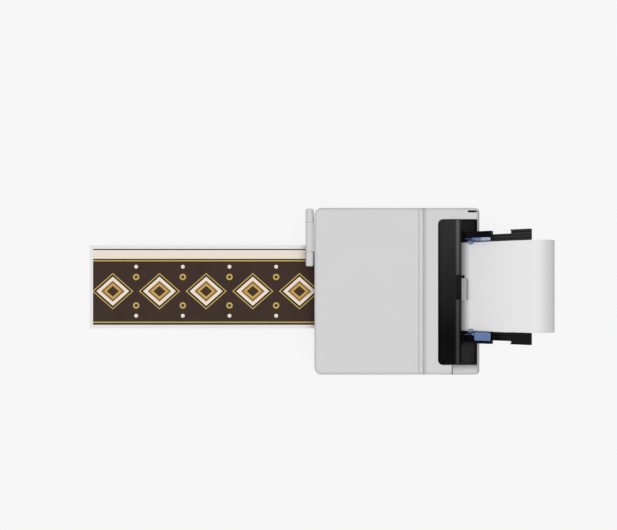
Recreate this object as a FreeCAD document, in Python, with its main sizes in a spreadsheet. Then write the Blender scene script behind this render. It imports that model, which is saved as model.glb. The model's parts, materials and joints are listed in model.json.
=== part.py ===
import FreeCAD, Part
import math
import os
import Sketcher

# A desktop colour printer printing a banner: +X is the viewer's right when facing
# the front, +Y runs to the rear and +Z is up. The origin is on the table under the
# middle of the case. Millimetres and degrees.

doc = FreeCAD.newDocument("banner_printer")
sheet = doc.addObject("Spreadsheet::Sheet", "sizes")

drivingSizes = {
    # case
    "caseWidth": 399.0, "caseDepth": 394.0, "caseTop": 212.0, "footHeight": 4.0,
    "frontCornerRadius": 17.0, "rearCornerRadius": 11.0, "topEdgeRadius": 5.0,
    "wall": 2.5, "seam": 0.4, "lipHeight": 14.0, "clearance": 0.4, "runningFit": 0.05,
    "seatGap": 0.3, "pressureAngle": 20.0, "dedendum": 1.25, "toothRelief": 0.06, "backlash": 0.12,
    "lidSeamY": 54.0, "frontCoverDepth": 47.0, "rearPanelDepth": 32.0,
    "grooveStart": 6.4, "grooveWidth": 13.4, "grooveRadius": 31.0, "grooveDepth": 3.2,
    "footRadius": 10.0, "footInset": 34.0, "footTaper": 1.0, "panThickness": 3.0,
    "cornerCoverWidth": 23.5, "cornerCoverDepth": 65.0, "cornerSeam": 0.8,
    "fingerSlotY": 169.0, "fingerSlotLength": 21.0, "fingerSlotWidth": 5.0, "fingerSlotInset": 6.5,
    # lid hinge
    "lidBarrelRadius": 6.0, "lidEarWidth": 16.0, "lidEarInset": 49.5, "lidEarRadius": 3.1,
    "lidPinRadius": 1.5, "lidLedgeDepth": 14.0, "lidRibCount": 4,
    "deckLipReach": 1.3, "deckLipThickness": 1.7,
    # paper path
    "sheetWidth": 210.0, "sheetCentreX": -11.0, "sheetThickness": 0.4, "slopeAngle": 34.6,
    "slopeY": 154.8, "levelZ": 102.0, "bendRadius": 120.0, "curlRadius": 37.0,
    "curlStartY": 295.0, "hangLength": 80.0, "bannerEndY": -767.0, "sheetGap": 0.4,
    # feeder well and guard
    "wellLeftInset": 27.5, "wellRightInset": 23.5, "wellFront": 97.5, "wellRear": 191.3,
    "wellCornerRadius": 12.0,
    "wellWall": 2.5, "rampEndY": 148.0, "rampThickness": 3.0, "throatHeight": 18.0,
    "guardBarrelRadius": 4.0, "guardPinRadius": 2.0, "guardThickness": 3.0,
    "guardBarRadius": 7.0, "guardBarY": 145.0, "guardBarZ": 217.0, "guardAxisDrop": 5.5,
    "notchLeft": -38.5, "notchRight": 20.0, "notchDepth": 12.0,
    "tongueLift": 3.0, "tongueThickness": 1.5, "tongueInset": 0.5,
    "tabLeft": -31.0, "tabWidth": 53.5, "tabRearY": 166.0, "tabThickness": 2.0, "tabCornerRadius": 5.0,
    "shelfGap": 3.0, "shelfRearY": 175.0,
    # bypass tray, measured along its slope
    "trayLeft": -141.2, "trayRight": 123.0, "trayLowY": 152.0, "trayHighY": 214.0,
    "traySkin": 3.0, "trayThickness": 14.2, "trayPinRadius": 2.5, "trayPinReach": 7.0, "trayEarWidth": 3.0,
    "armWidth": 20.0, "armThickness": 3.2, "armInset": 8.0, "armLength": 32.0,
    "extensionLeft": -142.0, "extensionRight": 122.0, "extensionLowY": 252.5,
    "extensionHighY": 291.5, "ribWidth": 2.0, "ribPitch": 21.8, "extensionFloor": 5.0,
    # paper guides, their racks and pinion
    "guideLow": 6.0, "guideHigh": 70.0, "guideBaseWidth": 24.0, "guideBaseHeight": 3.0,
    "fenceThickness": 2.4, "fenceHeight": 12.0, "ringRadius": 6.0, "ringHole": 3.4, "ringPlace": 27.0,
    "guideTravel": 3.0, "rackModule": 1.0, "pinionTeeth": 16, "pinionPlace": 26.0,
    "rackThickness": 3.6, "rackBack": 4.0, "postRadius": 3.0, "footWidth": 6.5,
    "leverOffset": 6.0, "leverLength": 34.0, "leverLow": 32.0, "leverThickness": 3.0, "leverHeight": 12.0,
    "leftPadReach": 2.5, "rightPadReach": 14.4, "padInner": 5.0, "padStart": 7.0, "padOverhang": 12.0,
    "padCornerRadius": 3.0, "leverPivotRise": 6.5, "leverPivotRadius": 2.0,
    "leverBarrelRadius": 2.8, "leverEarThickness": 3.0,
    # control panel
    "panelWidth": 138.5, "panelThickness": 19.0, "panelGap": 2.5,
    "panelTopZ": 192.0, "panelHeight": 64.0, "knuckleWidth": 70.0, "knuckleInset": 33.5,
    "knuckleArmHeight": 9.5, "panelPinRadius": 2.0, "panelPinReach": 10.0, "panelEdgeRadius": 4.0,
    "windowWidth": 62.0, "windowHeight": 26.0, "windowThickness": 1.6, "windowInset": 30.0,
    "buttonRadius": 5.0, "buttonLength": 5.0, "buttonProud": 1.2, "buttonGap": 0.35, "buttonPitch": 15.0,
    # ink door, bay and cartridges
    "doorInset": 19.5, "doorWidth": 50.0, "doorLow": 30.0, "doorHigh": 88.0,
    "doorBarrelRadius": 2.5, "doorPinRadius": 1.2, "lugWidth": 3.5,
    "bayDepth": 104.0, "bayWall": 2.0, "cartridgeWidth": 11.0, "cartridgeLength": 92.0,
    "cartridgeHeight": 46.0, "cartridgePullHeight": 11.5, "cartridgeCount": 4,
    # cassette and output tray
    "mouthInset": 49.5, "mouthGap": 6.0, "mouthTop": 128.0, "cassetteTop": 78.0,
    "cassetteRearY": 125.0, "cassetteWall": 2.2, "cassetteFront": 7.0, "gripWidth": 90.0,
    "gripHeight": 16.0, "gripDepth": 5.0,
    "outputThickness": 8.0, "outputGap": 1.8, "outputExtensionWidth": 120.0,
    "outputExtensionEndY": -330.0, "outputExtensionThickness": 3.0, "outputStopHeight": 5.0,
    # frames
    "leftFrameInset": 33.0, "rightFrameInset": 11.5, "frameThickness": 1.5, "frameFrontY": -160.0,
    "frameRearY": 94.0, "frameTop": 186.0, "frameRearTop": 136.0, "frameShoulderY": 0.0,
    # carriage drive
    "rodRadius": 5.0, "rodY": -95.0, "rodZ": 142.0, "carriageWidth": 58.0, "carriageHomeGap": 6.0,
    "carriageFront": 30.0, "carriageBack": 22.0, "carriageLow": 110.0, "carriageHigh": 158.0,
    "headWidth": 40.0, "headDepth": 26.0, "headGap": 2.0,
    "railY": -64.0, "railThickness": 1.5, "railLow": 146.0, "railHigh": 180.0,
    "pulleyRadius": 6.0, "pulleyWidth": 6.0, "beltThickness": 1.0, "beltWidth": 5.0,
    "pulleyZ": 166.0, "drivePulleyInset": 18.0, "idlerPulleyInset": 12.5, "pulleyShaftRadius": 2.0,
    "railFlangeDepth": 7.5, "carriageMotorRadius": 12.0, "carriageMotorLength": 26.0,
    "clampWidth": 14.0, "clampJaw": 3.0,
    # paper drive
    "feedRollerRadius": 8.0, "feedRollerY": -60.0, "shaftRadius": 4.0, "pinchRadius": 5.0,
    "pinchShaftRadius": 2.0, "pinchCount": 4, "pinchLength": 16.0,
    "starRadius": 4.5, "starRootRadius": 3.0, "starCount": 6, "starPoints": 10, "starThickness": 1.6,
    "starShaftRadius": 1.5,
    "gearModule": 1.5, "feedTeeth": 26, "idlerTeeth": 32, "exitTeeth": 26, "pinionMotorTeeth": 12,
    "gearWidth": 7.0, "gearGap": 1.0, "idlerPostRadius": 3.0, "motorDirection": 60.0,
    "feedMotorRadius": 15.0, "feedMotorLength": 24.0, "motorShaftRadius": 1.5,
    "pickupRadius": 13.0, "pickupY": 74.0, "pickupWidth": 60.0,
    "platenDepth": 46.0, "platenRib": 1.6, "platenRibPitch": 14.0, "platenThickness": 3.0,
    "platenRibHeight": 2.5, "chuteThickness": 1.5,
    # electrical pieces
    "supplyWidth": 42.0, "supplyLength": 120.0, "supplyHeight": 52.0, "supplyRearY": 150.0,
    "boardThickness": 1.6, "boardLength": 190.0, "boardHeight": 104.0, "boardLow": 24.0,
    "boardStandoff": 6.0, "standoffInset": 10.0, "chipLarge": 22.0, "chipMedium": 18.0, "chipSmall": 14.0,
    "inletWidth": 28.0, "inletHeight": 22.0, "inletDepth": 20.0, "inletPinPitch": 7.0,
    "inletInset": 49.5, "inletZ": 44.0,
    "portWidth": 30.0, "portHeight": 16.0, "portDepth": 18.0, "portInset": 23.5, "portZ": 60.0,
    "screwRadius": 3.0, "screwHeadHeight": 1.8, "screwInset": 16.0,
    "ventWidth": 3.0, "ventLength": 44.0, "ventPitch": 8.0, "ventCount": 9, "ventLow": 96.0,
    "ventInset": 16.0,
}


class Size:
    # A number with the spreadsheet expression that it comes from.
    def __init__(self, text, value):
        self.text = text
        self.value = value

    def joined(self, other, sign, value):
        return Size("(%s %s %s)" % (self.text, sign, as_size(other).text), value)

    def __add__(self, other):
        return self.joined(other, "+", self.value + as_size(other).value)

    def __sub__(self, other):
        return self.joined(other, "-", self.value - as_size(other).value)

    def __mul__(self, other):
        return self.joined(other, "*", self.value * as_size(other).value)

    def __truediv__(self, other):
        return self.joined(other, "/", self.value / as_size(other).value)

    def __neg__(self):
        return Size("(0 - %s)" % self.text, -self.value)

    def __radd__(self, other):
        return as_size(other) + self

    def __rsub__(self, other):
        return as_size(other) - self

    def __rmul__(self, other):
        return as_size(other) * self

    def __float__(self):
        return float(self.value)


def as_size(number):
    if isinstance(number, Size):
        return number
    return Size(repr(number), number)


def sine(angle):
    return Size("sin(%s)" % angle.text, math.sin(math.radians(angle.value)))


def cosine(angle):
    return Size("cos(%s)" % angle.text, math.cos(math.radians(angle.value)))


class Sheet:
    # The driving dimensions, one alias for each row of the spreadsheet.
    pass


s = Sheet()
for row, (alias, number) in enumerate(drivingSizes.items(), 1):
    sheet.set("A%d" % row, alias)
    sheet.set("B%d" % row, repr(number))
    sheet.setAlias("B%d" % row, alias)
doc.recompute()
for alias in drivingSizes:
    setattr(s, alias, Size("sizes.%s" % alias, sheet.get(alias)))

V = FreeCAD.Vector
axisVectors = {"x": V(1, 0, 0), "y": V(0, 1, 0), "z": V(0, 0, 1)}
sketchPlanes = {"x": "YZ_Plane", "y": "XZ_Plane", "z": "XY_Plane"}
nodes = []
closeEnough = 1e-6


def bind(thing, prop, size):
    thing.setExpression(prop, as_size(size).text)


def put(thing, place):
    for letter, size in zip("xyz", place):
        bind(thing, "Placement.Base.%s" % letter, size)
    return thing


def block(name, low, high):
    # A box between two corners.
    thing = doc.addObject("Part::Box", name)
    for prop, start, end in zip(("Length", "Width", "Height"), low, high):
        bind(thing, prop, as_size(end) - start)
    return put(thing, low)


def rod(name, axis, start, radius, length):
    # A round bar that starts at a point and runs along an axis.
    thing = doc.addObject("Part::Cylinder", name)
    bind(thing, "Radius", radius)
    bind(thing, "Height", length)
    thing.Placement = FreeCAD.Placement(V(), FreeCAD.Rotation(V(0, 0, 1), axisVectors[axis]))
    return put(thing, start)


def cone(name, axis, start, startRadius, endRadius, length):
    # A tapered bar that starts at a point and runs along an axis.
    thing = doc.addObject("Part::Cone", name)
    bind(thing, "Radius1", startRadius)
    bind(thing, "Radius2", endRadius)
    bind(thing, "Height", length)
    thing.Placement = FreeCAD.Placement(V(), FreeCAD.Rotation(V(0, 0, 1), axisVectors[axis]))
    return put(thing, start)


def profile(name, axis, points, start, length):
    # A polygon sketched square to an axis, each corner bound to its size, and padded along it.
    body = doc.addObject("PartDesign::Body", name)
    sketch = body.newObject("Sketcher::SketchObject", name + "_sketch")
    plane = [feature for feature in body.Origin.OriginFeatures if feature.Role == sketchPlanes[axis]]
    sketch.AttachmentSupport = [(plane[0], "")]
    sketch.MapMode = "FlatFace"
    corners = [(as_size(across), as_size(up)) for across, up in points]
    count = len(corners)
    for index, (across, up) in enumerate(corners):
        nextAcross, nextUp = corners[(index + 1) % count]
        line = Part.LineSegment(V(float(across), float(up), 0), V(float(nextAcross), float(nextUp), 0))
        sketch.addGeometry(line, False)
    for index in range(count):
        sketch.addConstraint(Sketcher.Constraint("Coincident", index, 2, (index + 1) % count, 1))
    for index, (across, up) in enumerate(corners):
        for kind, size in (("DistanceX", across), ("DistanceY", up)):
            tie = sketch.addConstraint(Sketcher.Constraint(kind, -1, 1, index, 1, float(size)))
            sketch.setExpression("Constraints[%d]" % tie, size.text)
    pad = body.newObject("PartDesign::Pad", name + "_pad")
    pad.Profile = sketch
    pad.Reversed = axis == "y"
    bind(pad, "Length", length)
    bind(body, "Placement.Base.%s" % axis, start)
    return body


def fuse(name, *pieces):
    thing = doc.addObject("Part::MultiFuse", name)
    thing.Shapes = list(pieces)
    thing.Refine = True
    return thing


def cut(name, base, *tools):
    thing = doc.addObject("Part::Cut", name)
    thing.Base = base
    thing.Tool = tools[0] if len(tools) == 1 else fuse(name + "_tools", *tools)
    thing.Refine = True
    return thing


def common(name, first, second):
    thing = doc.addObject("Part::Common", name)
    thing.Base = first
    thing.Tool = second
    thing.Refine = True
    return thing


def group(name, pieces):
    thing = doc.addObject("Part::Compound", name)
    thing.Links = list(pieces)
    return thing


def rounded(name, base, radius, chosen):
    # Rounds each edge of a piece that the test chooses by its ends.
    doc.recompute()
    thing = doc.addObject("Part::Fillet", name)
    thing.Base = base
    picked = []
    for number, edge in enumerate(base.Shape.Edges, 1):
        ends = [vertex.Point for vertex in edge.Vertexes]
        if len(ends) == 2 and chosen(*ends):
            picked.append((number, float(radius), float(radius)))
    if not picked:
        raise RuntimeError("no edge to round on " + name)
    thing.Edges = picked
    return thing


def along(axis):
    # Picks straight edges parallel to an axis.
    def chosen(first, last):
        return (last - first).cross(axisVectors[axis]).Length < closeEnough
    return chosen


def solid(name, shape):
    thing = doc.addObject("Part::Feature", name)
    thing.Shape = shape
    thing.Placement = FreeCAD.Placement()
    return thing


def node(label, thing):
    thing.Label = label
    nodes.append(thing)
    return thing


# Case: one rounded shell, parted by seams into the lid, the deck and the lower covers.

halfWidth = s.caseWidth / 2
halfDepth = s.caseDepth / 2
lowerTop = s.caseTop - s.lipHeight - s.seam
panTop = s.footHeight + s.panThickness
innerX = halfWidth - s.wall - s.clearance
innerY = halfDepth - s.wall - s.clearance
lidEarX = halfWidth - s.lidEarInset
wellLeft = s.wellLeftInset - halfWidth
wellRight = halfWidth - s.wellRightInset
panelLeft = -halfWidth
doorRight = halfWidth - s.doorInset
doorLeft = doorRight - s.doorWidth
mouthLeft = s.mouthInset - halfWidth
mouthRight = doorLeft - s.mouthGap
leftFrameX = s.leftFrameInset - halfWidth
rightFrameX = halfWidth - s.rightFrameInset
inletX = halfWidth - s.inletInset
portX = s.portInset - halfWidth


def case_form(name, inset):
    # The outer form of the case, drawn in by an inset.
    top = s.caseTop - inset
    plain = block(
        name + "_block",
        (inset - halfWidth, inset - halfDepth, s.footHeight),
        (halfWidth - inset, halfDepth - inset, top),
    )
    upright = along("z")
    front = rounded(
        name + "_front", plain, s.frontCornerRadius - inset,
        lambda first, last: upright(first, last) and first.y < 0,
    )
    rear = rounded(
        name + "_rear", front, s.rearCornerRadius - inset,
        lambda first, last: upright(first, last) and first.y > float(halfDepth - inset) - closeEnough,
    )
    level = float(top) - closeEnough
    return rounded(
        name, rear, s.topEdgeRadius - inset, lambda first, last: first.z > level and last.z > level
    )


caseOuter = case_form("case_outer", as_size(0))
caseInner = case_form("case_inner", s.wall)
caseShell = cut("case_shell", caseOuter, caseInner)


def case_region(name, low, high):
    # The part of the shell inside a box, whose open sides are given as None.
    far = halfWidth + halfDepth
    lowest = [-far if size is None else size for size in low]
    highest = [far if size is None else size for size in high]
    return common(name, caseShell, block(name + "_region", lowest, highest))


# Lid: a hood with a lip on three sides, whose rear edge is a barrel round the hinge line.
lidAxisY = s.lidSeamY - s.seam / 2 - s.lidBarrelRadius
lidAxisZ = s.caseTop - s.lidBarrelRadius
lidHood = case_region("lid_hood", (None, None, lowerTop + s.seam), (None, lidAxisY, None))
lidBarrel = rod("lid_barrel", "x", (-halfWidth, lidAxisY, lidAxisZ), s.lidBarrelRadius, s.caseWidth)
lidEnd = common("lid_end", lidBarrel, caseOuter)
lidRibs = []
lidRibCount = int(s.lidRibCount.value)
for index in range(lidRibCount):
    ribX = s.caseWidth * (index + 1) / (lidRibCount + 1) - halfWidth
    lidRibs.append(block(
        "lid_rib_%d" % index,
        (ribX - s.ribWidth / 2, s.frontCoverDepth - halfDepth, s.caseTop - s.wall - s.topEdgeRadius),
        (ribX + s.ribWidth / 2, lidAxisY - s.lidLedgeDepth, s.caseTop - s.wall),
    ))
lidWhole = fuse("lid_whole", lidHood, lidEnd, *lidRibs)
lidPinReach = s.lidEarWidth / 2 + s.lidBarrelRadius
lidCuts = []
deckEars = []
deckEarBores = []
hingePins = []
for side, earX in (("left", -lidEarX), ("right", lidEarX)):
    earLow = earX - s.lidEarWidth / 2
    lidCuts.append(block(
        "lid_slot_" + side,
        (earLow - s.clearance, lidAxisY - s.lidBarrelRadius - s.wall, lowerTop),
        (earLow + s.lidEarWidth + s.clearance, lidAxisY + s.lidBarrelRadius + s.wall, s.caseTop - s.wall),
    ))
    pinStart = (earX - lidPinReach, lidAxisY, lidAxisZ)
    boreRadius = s.lidPinRadius + s.runningFit
    lidCuts.append(rod("lid_bore_" + side, "x", pinStart, boreRadius, lidPinReach * 2))
    deckEars.append(block(
        "deck_ear_" + side,
        (earLow, lidAxisY - s.lidEarRadius, lidAxisZ - s.lidBarrelRadius - s.wall),
        (earLow + s.lidEarWidth, lidAxisY + s.lidEarRadius, lidAxisZ),
    ))
    earStart = (earLow, lidAxisY, lidAxisZ)
    deckEars.append(rod("deck_ear_end_" + side, "x", earStart, s.lidEarRadius, s.lidEarWidth))
    deckEarBores.append(rod("deck_ear_bore_" + side, "x", earStart, boreRadius, s.lidEarWidth))
    pinIn = (pinStart[0] + s.runningFit, lidAxisY, lidAxisZ)
    hingePins.append(rod("lid_pin_" + side, "x", pinIn, s.lidPinRadius, (lidPinReach - s.runningFit) * 2))
node("top_cover", cut("top_cover", lidWhole, *lidCuts))

# Deck behind the lid: it frames the feeder well and carries the lid's hinge ears on a ledge. A step
# behind its front strip rises again in a long round-over.
deckFront = s.lidSeamY + s.seam / 2
deckPlate = case_region("deck_plate", (None, deckFront, lowerTop + s.seam), (None, None, None))
ledgeTop = lidAxisZ - s.lidBarrelRadius - s.clearance * 2
deckWall = block(
    "deck_wall", (-innerX, deckFront, ledgeTop - s.wall), (innerX, deckFront + s.wall, s.caseTop - s.wall)
)
deckLedge = block(
    "deck_ledge",
    (-innerX, lidAxisY - s.lidLedgeDepth / 2, ledgeTop - s.wall),
    (innerX, deckFront + s.wall, ledgeTop),
)
grooveFront = deckFront + s.grooveStart
grooveRear = grooveFront + s.grooveWidth
grooveBacking = common(
    "groove_backing",
    block(
        "groove_backing_block",
        (-halfWidth, grooveFront - s.wall, s.caseTop - s.wall - s.grooveDepth),
        (halfWidth, grooveRear, s.caseTop - s.wall / 2),
    ),
    caseOuter,
)
deckLip = common(
    "deck_lip",
    block(
        "deck_lip_block",
        (-halfWidth, deckFront - s.deckLipReach, s.caseTop - s.deckLipThickness),
        (halfWidth, deckFront + s.wall / 2, s.caseTop),
    ),
    caseOuter,
)
deckWhole = fuse("deck_whole", deckPlate, deckWall, deckLedge, grooveBacking, deckLip, *deckEars)
wellHole = rounded(
    "well_hole",
    block(
        "well_hole_block",
        (wellLeft, s.wellFront, lowerTop), (wellRight, s.wellRear, s.caseTop + s.wall),
    ),
    s.wellCornerRadius,
    lambda first, last: along("z")(first, last) and first.y < float(s.rampEndY),
)
slotX = s.fingerSlotInset - halfWidth
fingerSlot = block(
    "finger_slot",
    (slotX, s.fingerSlotY, lowerTop),
    (slotX + s.fingerSlotWidth, s.fingerSlotY + s.fingerSlotLength, s.caseTop + s.wall),
)
groove = cut(
    "deck_groove",
    block(
        "groove_space",
        (-halfWidth - s.wall, grooveFront, s.caseTop - s.grooveDepth),
        (halfWidth + s.wall, grooveRear, s.caseTop + s.wall),
    ),
    rod(
        "groove_round", "x", (-halfWidth - s.wall, grooveRear, s.caseTop - s.grooveRadius),
        s.grooveRadius, s.caseWidth + s.wall * 2,
    ),
)
cornerX = halfWidth - s.cornerCoverWidth
cornerY = halfDepth - s.cornerCoverDepth
far = s.caseWidth
cornerNotch = block(
    "corner_notch", (cornerX - s.cornerSeam, cornerY - s.cornerSeam, lowerTop), (far, far, far)
)
node("rear_deck", cut("rear_deck", deckWhole, wellHole, fingerSlot, groove, cornerNotch, *deckEarBores))
cornerPiece = case_region("corner_piece", (cornerX, cornerY, lowerTop + s.seam), (None, None, None))
node("rear_corner_cover", cut("rear_corner_cover", cornerPiece, wellHole))

# Lower covers: front, two sides and rear.
frontEdge = s.frontCoverDepth - halfDepth
rearEdge = halfDepth - s.rearPanelDepth
frontShell = case_region("front_shell", (None, None, None), (None, frontEdge, lowerTop))
mouth = block(
    "mouth", (mouthLeft, -halfDepth - s.wall, panTop), (mouthRight, frontEdge, s.mouthTop)
)
doorHole = block(
    "door_hole", (doorLeft, -halfDepth - s.wall, s.doorLow), (doorRight, frontEdge, s.doorHigh)
)
doorAxisY = s.doorBarrelRadius - halfDepth
doorAxisZ = s.doorLow + s.clearance + s.doorBarrelRadius
frontAdds = []
frontBores = []
for side, lugLow in (("left", doorLeft - s.lugWidth), ("right", doorRight)):
    frontAdds.append(block(
        "door_lug_" + side,
        (lugLow, s.wall / 2 - halfDepth, s.doorLow - s.wall),
        (lugLow + s.lugWidth, doorAxisY + s.doorBarrelRadius * 2, doorAxisZ + s.doorBarrelRadius * 2),
    ))
    bore = s.doorPinRadius + s.runningFit
    frontBores.append(rod("door_lug_bore_" + side, "x", (lugLow, doorAxisY, doorAxisZ), bore, s.lugWidth))

panelBack = -halfDepth - s.panelGap
panelAxisY = panelBack - s.panelThickness / 2
panelAxisZ = s.panelTopZ - s.panelThickness / 2
knuckleRadius = s.panelThickness / 2
knuckleLow = panelLeft + s.knuckleInset
knuckleHigh = knuckleLow + s.knuckleWidth
knuckleStart = (knuckleLow, panelAxisY, panelAxisZ)
frontAdds.append(rod("knuckle", "x", knuckleStart, knuckleRadius, s.knuckleWidth))
frontAdds.append(block(
    "knuckle_arm",
    (knuckleLow, panelAxisY, panelAxisZ - s.knuckleArmHeight / 2),
    (knuckleHigh, s.wall / 2 - halfDepth, panelAxisZ + s.knuckleArmHeight / 2),
))
panelBore = s.panelPinRadius + s.runningFit
panelPinLength = s.knuckleWidth + s.panelPinReach * 2
panelPinStart = (knuckleLow - s.panelPinReach, panelAxisY, panelAxisZ)
frontBores.append(rod("knuckle_bore", "x", knuckleStart, panelBore, s.knuckleWidth))
slotLow = panelAxisZ - knuckleRadius - s.clearance
panelCuts = [
    block(
        "panel_slot",
        (knuckleLow - s.clearance, panelBack - s.panelThickness - s.wall, slotLow),
        (knuckleHigh + s.clearance, -halfDepth, s.panelTopZ + s.wall),
    ),
    rod("panel_bore", "x", panelPinStart, panelBore, panelPinLength),
]
panelPinIn = (panelPinStart[0] + s.clearance, panelAxisY, panelAxisZ)
hingePins.append(rod("panel_pin", "x", panelPinIn, s.panelPinRadius, panelPinLength - s.clearance * 2))
frontSolid = fuse("front_solid", cut("front_open", frontShell, mouth, doorHole), *frontAdds)
node("front_cover", cut("front_cover", frontSolid, *frontBores))

sideLow = frontEdge + s.seam
sideHigh = rearEdge - s.seam
leftShell = case_region("left_side_cover", (None, sideLow, None), (as_size(0), sideHigh, lowerTop))
node("left_side_cover", leftShell)
rightShell = case_region("right_shell", (as_size(0), sideLow, None), (None, sideHigh, lowerTop))
vents = []
for index in range(int(s.ventCount.value)):
    ventY = sideHigh - s.ventInset - s.ventPitch * index
    vents.append(block(
        "vent_%d" % index,
        (innerX, ventY, s.ventLow),
        (far, ventY + s.ventWidth, s.ventLow + s.ventLength),
    ))
node("right_side_cover", cut("right_side_cover", rightShell, *vents))

rearShell = case_region("rear_shell", (None, rearEdge, None), (None, None, lowerTop))
inletHole = block(
    "inlet_hole",
    (inletX - s.inletWidth / 2 - s.clearance, innerY, s.inletZ - s.inletHeight / 2 - s.clearance),
    (inletX + s.inletWidth / 2 + s.clearance, far, s.inletZ + s.inletHeight / 2 + s.clearance),
)
portHole = block(
    "port_hole",
    (portX - s.clearance, innerY, s.portZ - s.clearance),
    (portX + s.portWidth + s.clearance, far, s.portZ + s.portHeight + s.clearance),
)
node("rear_panel", cut("rear_panel", rearShell, inletHole, portHole))

# Base pan and its four rubber feet.
panPlate = block("pan_plate", (-innerX, -innerY, s.footHeight), (innerX, innerY, panTop))
node("base_pan", rounded("base_pan", panPlate, s.frontCornerRadius, along("z")))
feet = []
for index, (across, back) in enumerate(((-1, -1), (1, -1), (-1, 1), (1, 1))):
    spot = ((halfWidth - s.footInset) * across, (halfDepth - s.footInset) * back, as_size(0))
    sole = s.footRadius - s.footTaper
    feet.append(cone("foot_%d" % index, "z", spot, sole, s.footRadius, s.footHeight))
node("rubber_feet", group("rubber_feet", feet))


# Rear feeder. Pieces on the slope are placed by how far they lie up it and square off it,
# from the point where the sheet's underside passes the height of the case.

rise = sine(s.slopeAngle)
run = cosine(s.slopeAngle)
axisVectors["off"] = V(0, -float(rise), float(run))


def on_slope(across, up, off):
    return (
        as_size(across),
        s.slopeY + as_size(up) * run - as_size(off) * rise,
        s.caseTop + as_size(up) * rise + as_size(off) * run,
    )


def up_slope(y):
    # How far up the slope the sheet's underside reaches a given Y.
    return (as_size(y) - s.slopeY) / run


def slope_height(y):
    return s.caseTop + (as_size(y) - s.slopeY) * rise / run


def tilted_block(name, low, high):
    thing = doc.addObject("Part::Box", name)
    for prop, start, end in zip(("Length", "Width", "Height"), low, high):
        bind(thing, prop, as_size(end) - start)
    thing.Placement = FreeCAD.Placement(V(), FreeCAD.Rotation(axisVectors["x"], float(s.slopeAngle)))
    bind(thing, "Placement.Rotation.Angle", s.slopeAngle)
    return put(thing, on_slope(*low))


def tilted_rod(name, direction, start, radius, length):
    # A round bar up the slope ("up") or square off it ("off").
    angle = {"up": s.slopeAngle - 90, "off": s.slopeAngle}[direction]
    thing = doc.addObject("Part::Cylinder", name)
    bind(thing, "Radius", radius)
    bind(thing, "Height", length)
    thing.Placement = FreeCAD.Placement(V(), FreeCAD.Rotation(axisVectors["x"], float(angle)))
    bind(thing, "Placement.Rotation.Angle", angle)
    return put(thing, on_slope(*start))


def tilted_solid(name, shape, place):
    # A formed piece whose own Y runs up the slope.
    thing = solid(name, shape)
    spot = V(*[float(size) for size in on_slope(*place)])
    thing.Placement = FreeCAD.Placement(spot, FreeCAD.Rotation(axisVectors["x"], float(s.slopeAngle)))
    return thing


# Gear teeth are involutes: each flank is an arc through three points of the true curve.
def polar(radius, angle):
    return V(radius * math.cos(angle), radius * math.sin(angle), 0)


def gear_shape(teeth, module, width, bore, phase):
    teeth = int(teeth)
    pitchRadius = teeth * module / 2
    pressure = math.radians(float(s.pressureAngle))
    baseRadius = pitchRadius * math.cos(pressure)
    rootRadius = pitchRadius - module * float(s.dedendum)
    tipRadius = pitchRadius + module

    def involute(angle):
        return math.tan(angle) - angle

    def half_angle(radius):
        roll = math.acos(min(1, baseRadius / radius))
        return halfAtPitch + involute(pressure) - involute(roll)

    halfAtPitch = math.pi / 2 / teeth - float(s.toothRelief) / pitchRadius
    flankStart = max(rootRadius, baseRadius)
    flankMiddle = (flankStart + tipRadius) / 2
    edges = []
    for tooth in range(teeth):
        centre = math.radians(float(phase)) + tooth * 2 * math.pi / teeth
        following = centre + 2 * math.pi / teeth
        startHalf = half_angle(flankStart)
        flank = [(radius, half_angle(radius)) for radius in (flankStart, flankMiddle, tipRadius)]
        rising = [polar(radius, centre - half) for radius, half in flank]
        falling = [polar(radius, centre + half) for radius, half in reversed(flank)]
        edges.append(Part.Arc(*rising).toShape())
        edges.append(Part.Arc(rising[2], polar(tipRadius, centre), falling[0]).toShape())
        edges.append(Part.Arc(*falling).toShape())
        outer = falling[2]
        inner = polar(rootRadius, centre + startHalf)
        nextInner = polar(rootRadius, following - startHalf)
        nextOuter = polar(flankStart, following - startHalf)
        stepped = flankStart > rootRadius + closeEnough
        if stepped:
            edges.append(Part.LineSegment(outer, inner).toShape())
        middle = polar(rootRadius, (centre + following) / 2)
        edges.append(Part.Arc(inner, middle, nextInner).toShape())
        if stepped:
            edges.append(Part.LineSegment(nextInner, nextOuter).toShape())
    outline = Part.Face(Part.Wire(Part.__sortEdges__(edges)))
    blank = outline.extrude(V(0, 0, float(width)))
    return blank.cut(Part.makeCylinder(float(bore), float(width)))


def rack_shape(start, end, centre, module, back, thickness, facing):
    # A toothed bar along X; a tooth space lies at the centre, and the teeth face up or down Y.
    pitch = math.pi * module
    lean = math.tan(math.radians(float(s.pressureAngle)))
    half = pitch / 4 - float(s.toothRelief)
    root = -module * float(s.dedendum)
    first = math.ceil((start - centre) / pitch) + 1
    last = math.floor((end - centre) / pitch) - 1
    points = [V(start, root - back, 0), V(start, root, 0)]
    for tooth in range(first, last):
        middle = centre + (tooth + 0.5) * pitch
        points.append(V(middle - half + root * lean, root, 0))
        points.append(V(middle - half + module * lean, module, 0))
        points.append(V(middle + half - module * lean, module, 0))
        points.append(V(middle + half - root * lean, root, 0))
    points += [V(end, root, 0), V(end, root - back, 0)]
    turned = [V(point.x, point.y * facing, 0) for point in points]
    outline = Part.Face(Part.makePolygon(turned + turned[:1]))
    return outline.extrude(V(0, 0, thickness))


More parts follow.
